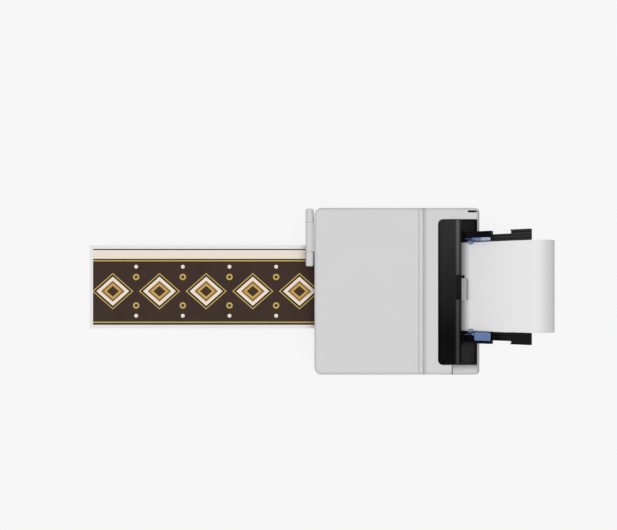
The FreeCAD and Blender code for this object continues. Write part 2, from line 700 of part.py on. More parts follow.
# Feeder well: a ramp under the sheet, a flat deck with a shelf behind it, and walls up to the rim.
wellX0 = wellLeft + s.clearance
wellX1 = wellRight - s.clearance
wellY0 = s.wellFront + s.clearance
wellY1 = s.wellRear - s.clearance
rim = s.caseTop - s.clearance
trayTopOff = -s.sheetGap
trayLowOff = trayTopOff - s.trayThickness
trayLow = up_slope(s.trayLowY)
trayHigh = up_slope(s.trayHighY)
wellDeck = on_slope(0, trayLow, trayLowOff)[2] - s.seatGap
rampDrop = s.rampThickness / run


def ramp_top(y):
    return slope_height(y) - s.sheetGap / run


underside = (
    (wellY1, wellDeck - s.rampThickness),
    (s.rampEndY - s.rampThickness, wellDeck - s.rampThickness),
    (s.rampEndY - s.rampThickness, ramp_top(s.rampEndY - s.rampThickness) - rampDrop),
    (wellY0, ramp_top(wellY0) - rampDrop),
)
floorLine = (
    (wellY0, ramp_top(wellY0)),
    (s.rampEndY, ramp_top(s.rampEndY)),
    (s.rampEndY, wellDeck),
    (wellY1, wellDeck),
)
wellFloor = profile("well_floor", "x", floorLine + underside, wellX0, wellX1 - wellX0)
cheekLine = ((wellY0, rim), (wellY1, rim)) + underside


def well_outline(name, inset, top):
    plain = block(
        name + "_block",
        (wellX0 + inset, wellY0 + inset, s.levelZ), (wellX1 - inset, wellY1 - inset, top),
    )
    return rounded(
        name, plain, s.wellCornerRadius - s.clearance - inset,
        lambda first, last: along("z")(first, last) and first.y < float(s.rampEndY),
    )


wellOuter = well_outline("well_outer", as_size(0), s.caseTop + s.trayThickness)
wellInner = well_outline("well_inner", s.wellWall, far)
wellSides = common(
    "well_sides",
    cut("well_ring", wellOuter, wellInner),
    profile("well_side_line", "x", cheekLine, wellX0, wellX1 - wellX0),
)
throatTop = ramp_top(wellY0) + s.throatHeight
throat = block(
    "well_throat",
    (wellX0 + s.wellCornerRadius, wellY0 - s.wellWall, s.levelZ),
    (wellX1 - s.wellCornerRadius, wellY0 + s.wellCornerRadius, throatTop),
)
pivotUp = trayLow + s.trayThickness / 2
pivotOff = trayLowOff + s.trayThickness / 2
pivot = on_slope(0, pivotUp, pivotOff)
earHalf = s.trayThickness / 2
trayEars = []
trayEarBores = []
trayBores = []
for side, earX, inward in (
    ("left", s.trayLeft - s.seatGap - s.trayEarWidth, 1), ("right", s.trayRight + s.seatGap, 0)
):
    trayEars.append(block(
        "tray_ear_" + side,
        (earX, pivot[1] - earHalf, wellDeck - s.rampThickness / 2),
        (earX + s.trayEarWidth, pivot[1] + earHalf, pivot[2]),
    ))
    earPlace = (earX, pivot[1], pivot[2])
    trayEars.append(rod("tray_ear_end_" + side, "x", earPlace, earHalf, s.trayEarWidth))
    pinX = earX + s.seatGap if inward else earX - s.trayPinReach
    pinPlace = (pinX, pivot[1], pivot[2])
    pinLength = s.trayPinReach + s.trayEarWidth - s.seatGap
    bore = s.trayPinRadius + s.runningFit
    trayEarBores.append(rod("tray_ear_bore_" + side, "x", earPlace, bore, s.trayEarWidth))
    boreX = s.trayLeft if inward else s.trayRight - s.trayPinReach
    trayBores.append(rod("tray_bore_" + side, "x", (boreX, pivot[1], pivot[2]), bore, s.trayPinReach))
    hingePins.append(rod("tray_pin_" + side, "x", pinPlace, s.trayPinRadius, pinLength))
guardAxisY = wellY0 + s.wellWall + s.clearance * 2 + s.guardBarrelRadius
guardAxisZ = s.caseTop - s.guardAxisDrop
guardX0 = wellX0 + s.wellWall + s.clearance
guardX1 = wellX1 - s.wellWall - s.clearance
guardBore = s.guardPinRadius + s.runningFit
guardPinLength = s.wellCornerRadius - s.wellWall + s.guardBarrelRadius * 2
guardPinX = wellX0 + s.wellWall
guardBores = []
for side, boreX in (("left", guardPinX), ("right", wellX1 - s.wellWall - guardPinLength)):
    boreStart = (boreX, guardAxisY, guardAxisZ)
    guardBores.append(rod("guard_bore_" + side, "x", boreStart, guardBore, guardPinLength))
    pinStart = (boreX + s.runningFit, guardAxisY, guardAxisZ)
    pinLength = guardPinLength - s.runningFit * 2
    hingePins.append(rod("guard_pin_" + side, "x", pinStart, s.guardPinRadius, pinLength))
cornerEnd = wellY0 + s.wellCornerRadius + s.wellWall
cornerTuck = s.clearance * 4
cornerPosts = []
for side, low, high in (
    ("left", wellX0, wellX0 + s.wellCornerRadius - s.clearance),
    ("right", wellX1 - s.wellCornerRadius + s.clearance, wellX1),
):
    cornerPosts.append(common(
        "well_corner_" + side,
        block(
            "well_corner_block_" + side,
            (low, wellY0, ramp_top(cornerEnd) - s.rampThickness), (high, cornerEnd - cornerTuck, rim),
        ),
        wellOuter,
    ))
shelfX = s.trayRight + s.trayEarWidth + s.shelfGap
shelf = block(
    "well_shelf",
    (shelfX, s.rampEndY - s.rampThickness, wellDeck - s.rampThickness / 2),
    (wellX1 - s.wellWall / 2, s.shelfRearY, ramp_top(s.rampEndY)),
)
wellWhole = fuse(
    "well_whole",
    common("well_bed", wellFloor, wellOuter), cut("well_walls", wellSides, throat), shelf,
    *cornerPosts, *trayEars,
)
node("feeder_well", cut("feeder_well", wellWhole, *trayEarBores, *guardBores))

# Feeder guard: a sloping flap on a barrel, with a round bar along its free edge. A tongue hangs in
# the bar's notch.
barTop = s.guardBarZ + s.guardBarRadius
barrelTop = guardAxisZ + s.guardBarrelRadius
guardFlap = profile(
    "guard_flap", "x",
    (
        (guardAxisY, barrelTop),
        (s.guardBarY, barTop),
        (s.guardBarY, barTop - s.guardThickness),
        (guardAxisY, barrelTop - s.guardThickness),
    ),
    guardX0, guardX1 - guardX0,
)
guardLine = (guardX0, guardAxisY, guardAxisZ)
guardBarrel = rod("guard_barrel", "x", guardLine, s.guardBarrelRadius, guardX1 - guardX0)
guardBarLine = (guardX0, s.guardBarY, s.guardBarZ)
guardBar = rod("guard_bar", "x", guardBarLine, s.guardBarRadius, guardX1 - guardX0)
notchY = s.guardBarY + s.guardBarRadius - s.notchDepth
guardNotch = block("guard_notch", (s.notchLeft, notchY, s.levelZ), (s.notchRight, far, far + far))
tongueRise = s.tongueLift / run
tongueTopRise = tongueRise + s.tongueThickness / run
tongueFront = notchY - s.guardThickness
tabFront = s.guardBarY + s.guardBarRadius + s.clearance
tongueRear = (tabFront + s.tabRearY) / 2
guardTongue = profile(
    "guard_tongue", "x",
    (
        (tongueFront, slope_height(tongueFront) + tongueRise),
        (tongueRear, slope_height(tongueRear) + tongueRise),
        (tongueRear, slope_height(tongueRear) + tongueTopRise),
        (notchY, slope_height(notchY) + tongueTopRise),
        (notchY, barTop - s.guardThickness),
        (tongueFront, barTop - s.guardThickness),
    ),
    s.notchLeft + s.tongueInset, s.notchRight - s.notchLeft - s.tongueInset * 2,
)
guardWhole = fuse("guard_whole", guardFlap, guardBarrel, guardBar)
guardCorners = [
    block("guard_corner_left", (wellX0, wellY0, s.levelZ), (wellX0 + s.wellCornerRadius, cornerEnd, far)),
    block("guard_corner_right", (wellX1 - s.wellCornerRadius, wellY0, s.levelZ), (wellX1, cornerEnd, far)),
]
guardCut = cut("guard_cut", guardWhole, guardNotch, *guardCorners, *guardBores)
node("feeder_guard", fuse("feeder_guard", guardCut, guardTongue))

# Grey tab: it lies along the tongue, over the sheet.
tabRise = tongueTopRise + s.seatGap / run
tabTopRise = tabRise + s.tabThickness / run
tabPlate = profile(
    "tab_plate", "x",
    (
        (tabFront, slope_height(tabFront) + tabRise),
        (s.tabRearY, slope_height(s.tabRearY) + tabRise),
        (s.tabRearY, slope_height(s.tabRearY) + tabTopRise),
        (tabFront, slope_height(tabFront) + tabTopRise),
    ),
    s.tabLeft, s.tabWidth,
)
tabOutline = rounded(
    "tab_outline",
    block(
        "tab_outline_block",
        (s.tabLeft, tabFront, s.levelZ), (s.tabLeft + s.tabWidth, s.tabRearY, far + far),
    ),
    s.tabCornerRadius,
    lambda first, last: along("z")(first, last) and first.y > float(tabFront) + closeEnough,
)
node("guard_tab", common("guard_tab", tabPlate, tabOutline))

# Bypass tray: a hollow slab, open at its high end for the extension's arms.
cavityLow = s.trayLeft + s.armInset - s.clearance
cavityHigh = s.trayRight - s.armInset + s.clearance
cavityFloor = trayLowOff + s.traySkin
cavityRoof = trayTopOff - s.traySkin
traySlab = tilted_block(
    "tray_slab", (s.trayLeft, trayLow, trayLowOff), (s.trayRight, trayHigh, trayTopOff)
)
trayCavity = tilted_block(
    "tray_cavity",
    (cavityLow, trayLow + s.traySkin, cavityFloor),
    (cavityHigh, trayHigh + s.traySkin, cavityRoof),
)
pinionRadius = s.rackModule * s.pinionTeeth / 2
rackDistance = pinionRadius + s.backlash
rackRoot = s.rackModule * s.dedendum
rackTopOff = cavityRoof - s.seatGap
rackLowOff = rackTopOff - s.rackThickness
postFoot = (s.sheetCentreX, s.pinionPlace, cavityFloor)
post = tilted_rod("guide_post", "off", postFoot, s.postRadius, cavityRoof - cavityFloor)
shoulder = tilted_rod(
    "guide_post_shoulder", "off", postFoot, s.postRadius * 2, rackLowOff - s.seatGap - cavityFloor
)
guideBottom = trayTopOff + s.seatGap
footSlots = []
guides = {}
for side, facing, padReach in (("left", 1, s.leftPadReach), ("right", -1, s.rightPadReach)):
    # Left and right mirror each other about the sheet's middle, and their racks face across the pinion.
    outward = -facing
    edgeX = s.sheetCentreX + s.sheetWidth / 2 * outward
    faceX = edgeX + s.sheetGap * outward

    def span(first, last):
        return (first, last) if float(first) < float(last) else (last, first)

    baseSpan = span(faceX, faceX + s.guideBaseWidth * outward)
    fenceSpan = span(faceX, faceX + s.fenceThickness * outward)
    ringSpan = span(faceX + s.fenceThickness * outward, faceX - s.ringRadius * outward)
    cavityEdge = cavityLow if side == "left" else cavityHigh
    footOuter = cavityEdge - (s.guideTravel + s.clearance) * outward
    footSpan = span(footOuter, footOuter - s.footWidth * outward)
    slotSpan = span(cavityEdge, footOuter - (s.footWidth + s.clearance) * outward)
    rackBackFace = s.pinionPlace - (rackDistance + rackRoot + s.rackBack) * facing
    rackRootFace = s.pinionPlace - (rackDistance + rackRoot) * facing
    backSpan = span(rackBackFace, rackRootFace)
    footSlots.append(tilted_block(
        "foot_slot_" + side,
        (slotSpan[0], backSpan[0] - s.clearance, cavityRoof - s.seatGap),
        (slotSpan[1], backSpan[1] + s.clearance, trayTopOff + s.seatGap),
    ))
    rackReach = s.sheetCentreX - pinionRadius * 2 * outward
    rackSpan = span(footOuter, rackReach)
    rackBar = tilted_solid(
        "rack_" + side,
        rack_shape(
            float(rackSpan[0]), float(rackSpan[1]), float(s.sheetCentreX), float(s.rackModule),
            float(s.rackBack), float(s.rackThickness), facing,
        ),
        (0, s.pinionPlace - rackDistance * facing, rackLowOff),
    )
    pivotX = faceX + s.leverOffset * outward
    pivotRise = guideBottom + s.leverPivotRise
    ringSpot = (faceX, s.ringPlace, pivotRise)
    ring = cut(
        "guide_ring_" + side,
        tilted_rod("ring_disc_" + side, "off", ringSpot, s.ringRadius, s.fenceThickness),
        tilted_rod("ring_hole_" + side, "off", ringSpot, s.ringHole, s.fenceThickness),
    )
    ringHalf = tilted_block(
        "ring_half_" + side,
        (ringSpan[0], s.ringPlace - s.ringRadius, pivotRise),
        (ringSpan[1], s.ringPlace + s.ringRadius, pivotRise + s.fenceThickness),
    )
    pieces = [
        tilted_block(
            "guide_base_" + side,
            (baseSpan[0], s.guideLow, guideBottom),
            (baseSpan[1], s.guideHigh, guideBottom + s.guideBaseHeight),
        ),
        tilted_block(
            "guide_fence_" + side,
            (fenceSpan[0], s.guideLow, guideBottom),
            (fenceSpan[1], s.guideHigh, guideBottom + s.fenceHeight),
        ),
        common("guide_finger_" + side, ring, ringHalf),
        tilted_block(
            "guide_foot_" + side,
            (footSpan[0], backSpan[0], rackLowOff),
            (footSpan[1], backSpan[1], guideBottom),
        ),
        rackBar,
    ]
    earBores = []
    leverHigh = s.leverLow + s.leverLength
    lowEar = s.leverLow - s.seatGap - s.leverEarThickness
    for end, earLow in (("low", lowEar), ("high", leverHigh + s.seatGap)):
        tag = "%s_%s" % (side, end)
        pieces.append(tilted_block(
            "lever_ear_" + tag,
            (pivotX - s.leverPivotRadius * 2, earLow, guideBottom),
            (pivotX + s.leverPivotRadius * 2, earLow + s.leverEarThickness, pivotRise),
        ))
        earSpot = (pivotX, earLow, pivotRise)
        pieces.append(tilted_rod(
            "lever_ear_end_" + tag, "up", earSpot, s.leverPivotRadius * 2, s.leverEarThickness
        ))
        bore = s.leverPivotRadius + s.runningFit
        earBores.append(tilted_rod("lever_ear_bore_" + tag, "up", earSpot, bore, s.leverEarThickness))
    guides[side] = cut(side + "_guide", fuse("guide_whole_" + side, *pieces), *earBores)
    # Lever: a barrel with two stub pins, a blade standing on it and a thumb pad along its top.
    bladeTop = pivotRise + s.leverHeight
    padSpan = span(pivotX - s.padInner * outward, pivotX + padReach * outward)
    pad = rounded(
        "lever_pad_" + side,
        tilted_block(
            "lever_pad_block_" + side,
            (padSpan[0], s.leverLow + s.padStart, bladeTop - s.leverThickness),
            (padSpan[1], leverHigh + s.padOverhang, bladeTop),
        ),
        s.padCornerRadius, along("off"),
    )
    lever = fuse(
        side + "_lever",
        tilted_rod(
            "lever_barrel_" + side, "up",
            (pivotX, s.leverLow, pivotRise), s.leverBarrelRadius, s.leverLength,
        ),
        tilted_rod(
            "lever_stubs_" + side, "up",
            (pivotX, s.leverLow - s.leverEarThickness, pivotRise),
            s.leverPivotRadius, s.leverLength + s.leverEarThickness * 2,
        ),
        tilted_block(
            "lever_blade_" + side,
            (pivotX - s.leverThickness / 2, s.leverLow, pivotRise),
            (pivotX + s.leverThickness / 2, leverHigh, bladeTop),
        ),
        pad,
    )
    guides[side + "_lever"] = lever
trayOpen = fuse("tray_open", cut("tray_hollow", traySlab, trayCavity), post, shoulder)
node("bypass_tray", cut("bypass_tray", trayOpen, *footSlots, *trayBores))
node("left_guide", guides["left"])
node("right_guide", guides["right"])
node("left_lever", guides["left_lever"])
node("right_lever", guides["right_lever"])
pinionShape = gear_shape(
    s.pinionTeeth.value, float(s.rackModule), s.rackThickness, s.postRadius + s.runningFit, 0
)
node("guide_pinion", tilted_solid("guide_pinion", pinionShape, (s.sheetCentreX, s.pinionPlace, rackLowOff)))

# Tray extension: two arms in the tray's hollow and a ribbed end piece.
armLowOff = cavityFloor + s.seatGap
armHighOff = armLowOff + s.armThickness
endLow = up_slope(s.extensionLowY)
endHigh = up_slope(s.extensionHighY)
armStart = trayHigh - s.armLength
extension = [tilted_block(
    "extension_end",
    (s.extensionLeft, endLow, armLowOff),
    (s.extensionRight, endHigh, armLowOff + s.extensionFloor),
)]
for side, armX in (("left", s.trayLeft + s.armInset), ("right", s.trayRight - s.armInset - s.armWidth)):
    extension.append(tilted_block(
        "extension_arm_" + side, (armX, armStart, armLowOff), (armX + s.armWidth, endLow, armHighOff)
    ))
ribCount = int(float(s.extensionRight - s.extensionLeft - s.ribWidth) // float(s.ribPitch)) + 1
ribMargin = (s.extensionRight - s.extensionLeft - s.ribPitch * (ribCount - 1) - s.ribWidth) / 2
for index in range(ribCount):
    ribX = s.extensionLeft + ribMargin + s.ribPitch * index
    extension.append(tilted_block(
        "extension_rib_%d" % index,
        (ribX, endLow, armLowOff),
        (ribX + s.ribWidth, endHigh, trayTopOff),
    ))
node("tray_extension", fuse("tray_extension", *extension))


# Control panel: it hangs in front of the case from a round top edge on the hinge line.
panelFront = panelBack - s.panelThickness
panelLow = s.panelTopZ - s.panelHeight
panelRight = panelLeft + s.panelWidth
panelSlab = block(
    "panel_slab", (panelLeft, panelFront, panelLow), (panelRight, panelBack, panelAxisZ)
)
panelRound = rod(
    "panel_round", "x", (panelLeft, panelAxisY, panelAxisZ), s.panelThickness / 2, s.panelWidth
)
panelPlan = rounded(
    "panel_plan",
    block("panel_plan_block", (panelLeft, panelFront, panelLow), (panelRight, panelBack, s.panelTopZ)),
    s.panelEdgeRadius, along("z"),
)
panelWhole = common("panel_whole", fuse("panel_blank", panelSlab, panelRound), panelPlan)
panelMiddle = (panelLow + panelAxisZ) / 2
windowX = panelLeft + s.windowInset
windowZ = panelMiddle - s.windowHeight / 2
windowBack = panelFront + s.windowThickness
panelCuts.append(block(
    "window_recess",
    (windowX - s.seatGap, panelFront - s.wall, windowZ - s.seatGap),
    (windowX + s.windowWidth + s.seatGap, windowBack + s.seatGap, windowZ + s.windowHeight + s.seatGap),
))
buttonX = windowX + s.windowWidth + s.buttonPitch
buttonPlaces = {
    "power_button": (buttonX, panelMiddle - s.buttonPitch / 2),
    "cancel_button": (buttonX + s.buttonPitch, panelMiddle - s.buttonPitch / 2),
    "up_button": (buttonX, panelMiddle + s.buttonPitch / 2),
    "down_button": (buttonX + s.buttonPitch, panelMiddle + s.buttonPitch / 2),
}
buttonFront = panelFront - s.buttonProud
buttons = {}
for label, (across, height) in buttonPlaces.items():
    cap = cone(
        label + "_cap", "y", (across, buttonFront, height),
        s.buttonRadius - s.buttonProud / 2, s.buttonRadius, s.buttonProud,
    )
    stem = rod(
        label + "_stem", "y", (across, panelFront, height), s.buttonRadius, s.buttonLength - s.buttonProud
    )
    buttons[label] = fuse(label, cap, stem)
    panelCuts.append(rod(
        label + "_well", "y", (across, panelFront - s.wall, height),
        s.buttonRadius + s.buttonGap, s.wall + s.buttonLength + s.buttonGap,
    ))
node("control_panel", cut("control_panel", panelWhole, *panelCuts))
node("display_window", block(
    "display_window",
    (windowX, panelFront, windowZ), (windowX + s.windowWidth, windowBack, windowZ + s.windowHeight),
))
for label, button in buttons.items():
    node(label, button)

# Ink door, hinged at its foot on two pins in the front cover's lugs.
doorX0 = doorLeft + s.clearance
doorX1 = doorRight - s.clearance
doorTop = s.doorHigh - s.clearance
doorPlate = block("door_plate", (doorX0, -halfDepth, doorAxisZ), (doorX1, s.wall - halfDepth, doorTop))
doorBarrel = rod("door_barrel", "x", (doorX0, doorAxisY, doorAxisZ), s.doorBarrelRadius, doorX1 - doorX0)
doorBack = s.wall - halfDepth
doorFrame = []
for side, ribX in (("left", doorX0 + s.wall), ("right", doorX1 - s.wall - s.ribWidth)):
    doorFrame.append(block(
        "door_rib_" + side,
        (ribX, doorBack - s.wall / 2, doorAxisZ),
        (ribX + s.ribWidth, doorBack + s.ribWidth, doorTop - s.wall),
    ))
doorMiddle = (doorX0 + doorX1) / 2
doorPull = rod(
    "door_pull", "y", (doorMiddle, -halfDepth - s.wall, doorTop), s.cartridgeWidth, s.wall + s.wall / 2
)
doorPinReach = s.lugWidth + s.clearance
doorBores = []
for side, boreX, pinX in (
    ("left", doorX0, doorLeft - s.lugWidth + s.runningFit),
    ("right", doorX1 - doorPinReach, doorX1 - doorPinReach + s.runningFit),
):
    bore = s.doorPinRadius + s.runningFit
    doorBores.append(rod("door_bore_" + side, "x", (boreX, doorAxisY, doorAxisZ), bore, doorPinReach))
    pinLength = s.lugWidth + s.clearance + doorPinReach - s.runningFit * 2
    hingePins.append(rod("door_pin_" + side, "x", (pinX, doorAxisY, doorAxisZ), s.doorPinRadius, pinLength))
doorWhole = fuse("door_whole", doorPlate, doorBarrel, *doorFrame)
node("ink_door", cut("ink_door", doorWhole, doorPull, *doorBores))

# Cartridge bay, open to the door, with four cartridges side by side.
bayFront = doorBack + s.doorBarrelRadius * 2 + s.bayWall
bayX1 = doorRight
bayZ0 = s.doorLow + s.bayWall
bayZ1 = s.doorHigh - s.bayWall
bayBlock = block("bay_block", (doorLeft, bayFront, bayZ0), (bayX1, bayFront + s.bayDepth, bayZ1))
bayHollow = block(
    "bay_hollow",
    (doorLeft + s.bayWall, bayFront - s.bayWall, bayZ0 + s.bayWall),
    (bayX1 - s.bayWall, bayFront + s.bayDepth - s.bayWall, bayZ1 - s.bayWall),
)
bayFlange = block(
    "bay_flange",
    (bayX1 - s.bayWall, bayFront, bayZ0),
    (rightFrameX - s.seatGap, bayFront + s.bayDepth, bayZ0 + s.bayWall),
)
node("cartridge_bay", fuse("cartridge_bay", cut("bay_shell", bayBlock, bayHollow), bayFlange))
bayClear = bayX1 - doorLeft - s.bayWall * 2
cartridgeCount = int(s.cartridgeCount.value)
cartridgeGap = (bayClear - s.cartridgeWidth * cartridgeCount) / (cartridgeCount + 1)
cartridges = []
for index in range(cartridgeCount):
    cartridgeX = doorLeft + s.bayWall + cartridgeGap + (s.cartridgeWidth + cartridgeGap) * index
    cartridgeZ = bayZ0 + s.bayWall + s.seatGap
    cartridgeEndX = cartridgeX + s.cartridgeWidth
    pullZ = cartridgeZ + s.cartridgeHeight / 2
    shellBlock = block(
        "cartridge_block_%d" % index,
        (cartridgeX, bayFront + s.bayWall, cartridgeZ),
        (cartridgeEndX, bayFront + s.bayWall + s.cartridgeLength, cartridgeZ + s.cartridgeHeight),
    )
    pull = block(
        "cartridge_pull_%d" % index,
        (cartridgeX + s.bayWall, bayFront, pullZ),
        (cartridgeEndX - s.bayWall, bayFront + s.bayWall * 3, pullZ + s.cartridgePullHeight),
    )
    cartridges.append(cut("cartridge_%d" % index, shellBlock, pull))
node("ink_cartridges", group("ink_cartridges", cartridges))

# Cassette: an open tray that slides out of the front, with a grip recess in its face.
cassetteX0 = mouthLeft + s.clearance
cassetteX1 = mouthRight - s.clearance
cassetteZ = panTop + s.seatGap
cassetteMiddle = (cassetteX0 + cassetteX1) / 2
cassetteBlock = block(
    "cassette_block", (cassetteX0, -halfDepth, cassetteZ), (cassetteX1, s.cassetteRearY, s.cassetteTop)
)
cassetteHollow = block(
    "cassette_hollow",
    (cassetteX0 + s.cassetteWall, s.cassetteFront - halfDepth, cassetteZ + s.cassetteWall),
    (cassetteX1 - s.cassetteWall, s.cassetteRearY - s.cassetteWall, far),
)
grip = block(
    "cassette_grip",
    (cassetteMiddle - s.gripWidth / 2, -halfDepth - s.wall, cassetteZ + s.gripHeight),
    (cassetteMiddle + s.gripWidth / 2, s.gripDepth - halfDepth, cassetteZ + s.gripHeight * 2),
)
node("cassette_tray", cut("cassette_tray", cassetteBlock, cassetteHollow, grip))

# Where the paper drive's shafts run, over and under the sheet.
sheetTop = s.levelZ + s.sheetThickness
driveZ = s.levelZ - s.seatGap - s.feedRollerRadius
pinchZ = sheetTop + s.seatGap + s.pinchRadius
starZ = sheetTop + s.seatGap + s.starRadius
feedPitch = s.gearModule * s.feedTeeth / 2
idlerPitch = s.gearModule * s.idlerTeeth / 2
exitPitch = s.gearModule * s.exitTeeth / 2
pinionPitch = s.gearModule * s.pinionMotorTeeth / 2
idlerY = s.feedRollerY - feedPitch - idlerPitch - s.backlash
exitY = idlerY - idlerPitch - exitPitch - s.backlash
motorReach = feedPitch + pinionPitch + s.backlash
motorY = s.feedRollerY + motorReach * cosine(s.motorDirection)
motorZ = driveZ + motorReach * sine(s.motorDirection)

# Output tray above the cassette, and the extension that slides in it under the sheet.
outputZ = s.cassetteTop + s.clearance * 2
outputTop = outputZ + s.outputThickness
extensionZ = outputZ + (s.outputThickness - s.outputExtensionThickness) / 2
extensionX0 = s.sheetCentreX - s.outputExtensionWidth / 2
extensionX1 = s.sheetCentreX + s.outputExtensionWidth / 2
outputRear = exitY - s.feedRollerRadius - s.outputGap
outputBlock = block(
    "output_block", (cassetteX0, s.seatGap - halfDepth, outputZ), (cassetteX1, outputRear, outputTop)
)
outputSlot = block(
    "output_slot",
    (extensionX0 - s.seatGap, -far, extensionZ - s.seatGap),
    (extensionX1 + s.seatGap, far, extensionZ + s.outputExtensionThickness + s.seatGap),
)
node("output_tray", cut("output_tray", outputBlock, outputSlot))
extensionTop = extensionZ + s.outputExtensionThickness
extensionPlate = block(
    "output_plate",
    (extensionX0, s.outputExtensionEndY, extensionZ), (extensionX1, outputRear - s.wall, extensionTop),
)
extensionStop = block(
    "output_stop",
    (extensionX0, s.outputExtensionEndY, extensionZ),
    (extensionX1, s.outputExtensionEndY + s.wall, extensionTop + s.outputStopHeight),
)
node("output_extension", fuse("output_extension", extensionPlate, extensionStop))

# Paper drive: rollers under and over the sheet, geared together outside the left frame.
gearX = leftFrameX - s.gearGap - s.gearWidth
leftInner = leftFrameX + s.frameThickness
shaftEnd = rightFrameX + s.frameThickness * 2
rollX0 = s.sheetCentreX - s.sheetWidth / 2
rollX1 = s.sheetCentreX + s.sheetWidth / 2
pickupZ = s.cassetteTop + s.seatGap * 2 + s.pickupRadius
pickupEnds = leftFrameX - s.gearGap / 2


def driven_roller(name, y, shaftStart):
    shaftPlace = (shaftStart, y, driveZ)
    return fuse(
        name,
        rod(name + "_shaft", "x", shaftPlace, s.shaftRadius, shaftEnd - shaftStart),
        rod(name + "_sleeve", "x", (rollX0, y, driveZ), s.feedRollerRadius, rollX1 - rollX0),
    )


node("feed_roller", driven_roller("feed_roller", s.feedRollerY, gearX - s.gearGap))
node("exit_roller", driven_roller("exit_roller", exitY, gearX - s.gearGap))
pinchPieces = [rod(
    "pinch_shaft", "x", (pickupEnds, s.feedRollerY, pinchZ), s.pinchShaftRadius, shaftEnd - pickupEnds
)]
pinchCount = int(s.pinchCount.value)
pinchPitch = (rollX1 - rollX0 - s.pinchLength) / (pinchCount - 1)
for index in range(pinchCount):
    pinchPlace = (rollX0 + pinchPitch * index, s.feedRollerY, pinchZ)
    pinchPieces.append(rod("pinch_roll_%d" % index, "x", pinchPlace, s.pinchRadius, s.pinchLength))
node("pinch_rollers", fuse("pinch_rollers", *pinchPieces))

starPieces = [rod("star_shaft", "x", (pickupEnds, exitY, starZ), s.starShaftRadius, shaftEnd - pickupEnds)]
starCount = int(s.starCount.value)
starPitch = (rollX1 - rollX0 - s.starThickness) / (starCount - 1)
starCorners = []
starPoints = int(s.starPoints.value)
for index in range(starPoints * 2):
    reach = float(s.starRadius) if index % 2 == 0 else float(s.starRootRadius)
    starCorners.append(polar(reach, math.pi * index / starPoints))
starFace = Part.Face(Part.makePolygon(starCorners + starCorners[:1]))
crossways = FreeCAD.Rotation(axisVectors["y"], 90)
for index in range(starCount):
    wheel = solid("star_wheel_%d" % index, starFace.extrude(V(0, 0, float(s.starThickness))))
    spot = V(float(rollX0 + starPitch * index), float(exitY), float(starZ))
    wheel.Placement = FreeCAD.Placement(spot, crossways)
    starPieces.append(wheel)
node("star_wheels", fuse("star_wheels", *starPieces))


def gear(name, teeth, y, z, bore, turn):
    # A gear on a shaft along X. The turn is measured from +Y towards +Z, to the middle of a tooth.
    shape = gear_shape(teeth.value, float(s.gearModule), s.gearWidth, bore + s.runningFit, turn)
    thing = solid(name, shape)
    facing = FreeCAD.Rotation(axisVectors["y"], axisVectors["z"], axisVectors["x"], "ZXY")
    thing.Placement = FreeCAD.Placement(V(float(gearX), float(y), float(z)), facing)
    return node(name, thing)


feedStep = 360 / float(s.feedTeeth)
motorOffset = float(s.motorDirection) % feedStep
halfTurn = 180
pinionShift = (motorOffset * float(s.feedTeeth) + halfTurn) / float(s.pinionMotorTeeth)
pinionTurn = float(s.motorDirection) + halfTurn + pinionShift
gear("feed_gear", s.feedTeeth, s.feedRollerY, driveZ, s.shaftRadius, 0)
gear("idler_gear", s.idlerTeeth, idlerY, driveZ, s.idlerPostRadius, halfTurn / float(s.idlerTeeth))
gear("exit_gear", s.exitTeeth, exitY, driveZ, s.shaftRadius, 0)
gear("motor_pinion", s.pinionMotorTeeth, motorY, motorZ, s.motorShaftRadius, pinionTurn)

motorCan = rod("feed_motor_can", "x", (leftInner, motorY, motorZ), s.feedMotorRadius, s.feedMotorLength)
motorShaft = rod(
    "feed_motor_shaft", "x", (gearX, motorY, motorZ), s.motorShaftRadius, leftInner + s.wall - gearX
)
node("feed_motor", fuse("feed_motor", motorCan, motorShaft))
pickupShaft = rod(
    "pickup_shaft", "x", (pickupEnds, s.pickupY, pickupZ), s.shaftRadius, shaftEnd - pickupEnds
)
pickupX = s.sheetCentreX - s.pickupWidth / 2
pickupRoll = rod("pickup_roll", "x", (pickupX, s.pickupY, pickupZ), s.pickupRadius, s.pickupWidth)
node("pickup_roller", fuse("pickup_roller", pickupShaft, pickupRoll))

# Carriage on its rod, with the belt, pulleys and motor on a rail behind it.
carriageRight = rightFrameX - s.carriageHomeGap
drivePulleyX = rightFrameX - s.drivePulleyInset
idlerPulleyX = leftFrameX + s.idlerPulleyInset
carriageX0 = carriageRight - s.carriageWidth
carriageMiddle = carriageRight - s.carriageWidth / 2
carriageRear = s.rodY + s.carriageBack
pulleyY = s.railY - s.seatGap * 2 - s.pulleyWidth
beltY = pulleyY + (s.pulleyWidth - s.beltWidth) / 2
beltInner = s.pulleyRadius + s.seatGap
beltOuter = beltInner + s.beltThickness


def belt_loop(name, radius, start, width):
    return fuse(
        name,
        rod(name + "_left", "y", (idlerPulleyX, start, s.pulleyZ), radius, width),
        rod(name + "_right", "y", (drivePulleyX, start, s.pulleyZ), radius, width),
        block(
            name + "_middle",
            (idlerPulleyX, start, s.pulleyZ - radius),
            (drivePulleyX, start + width, s.pulleyZ + radius),
        ),
    )


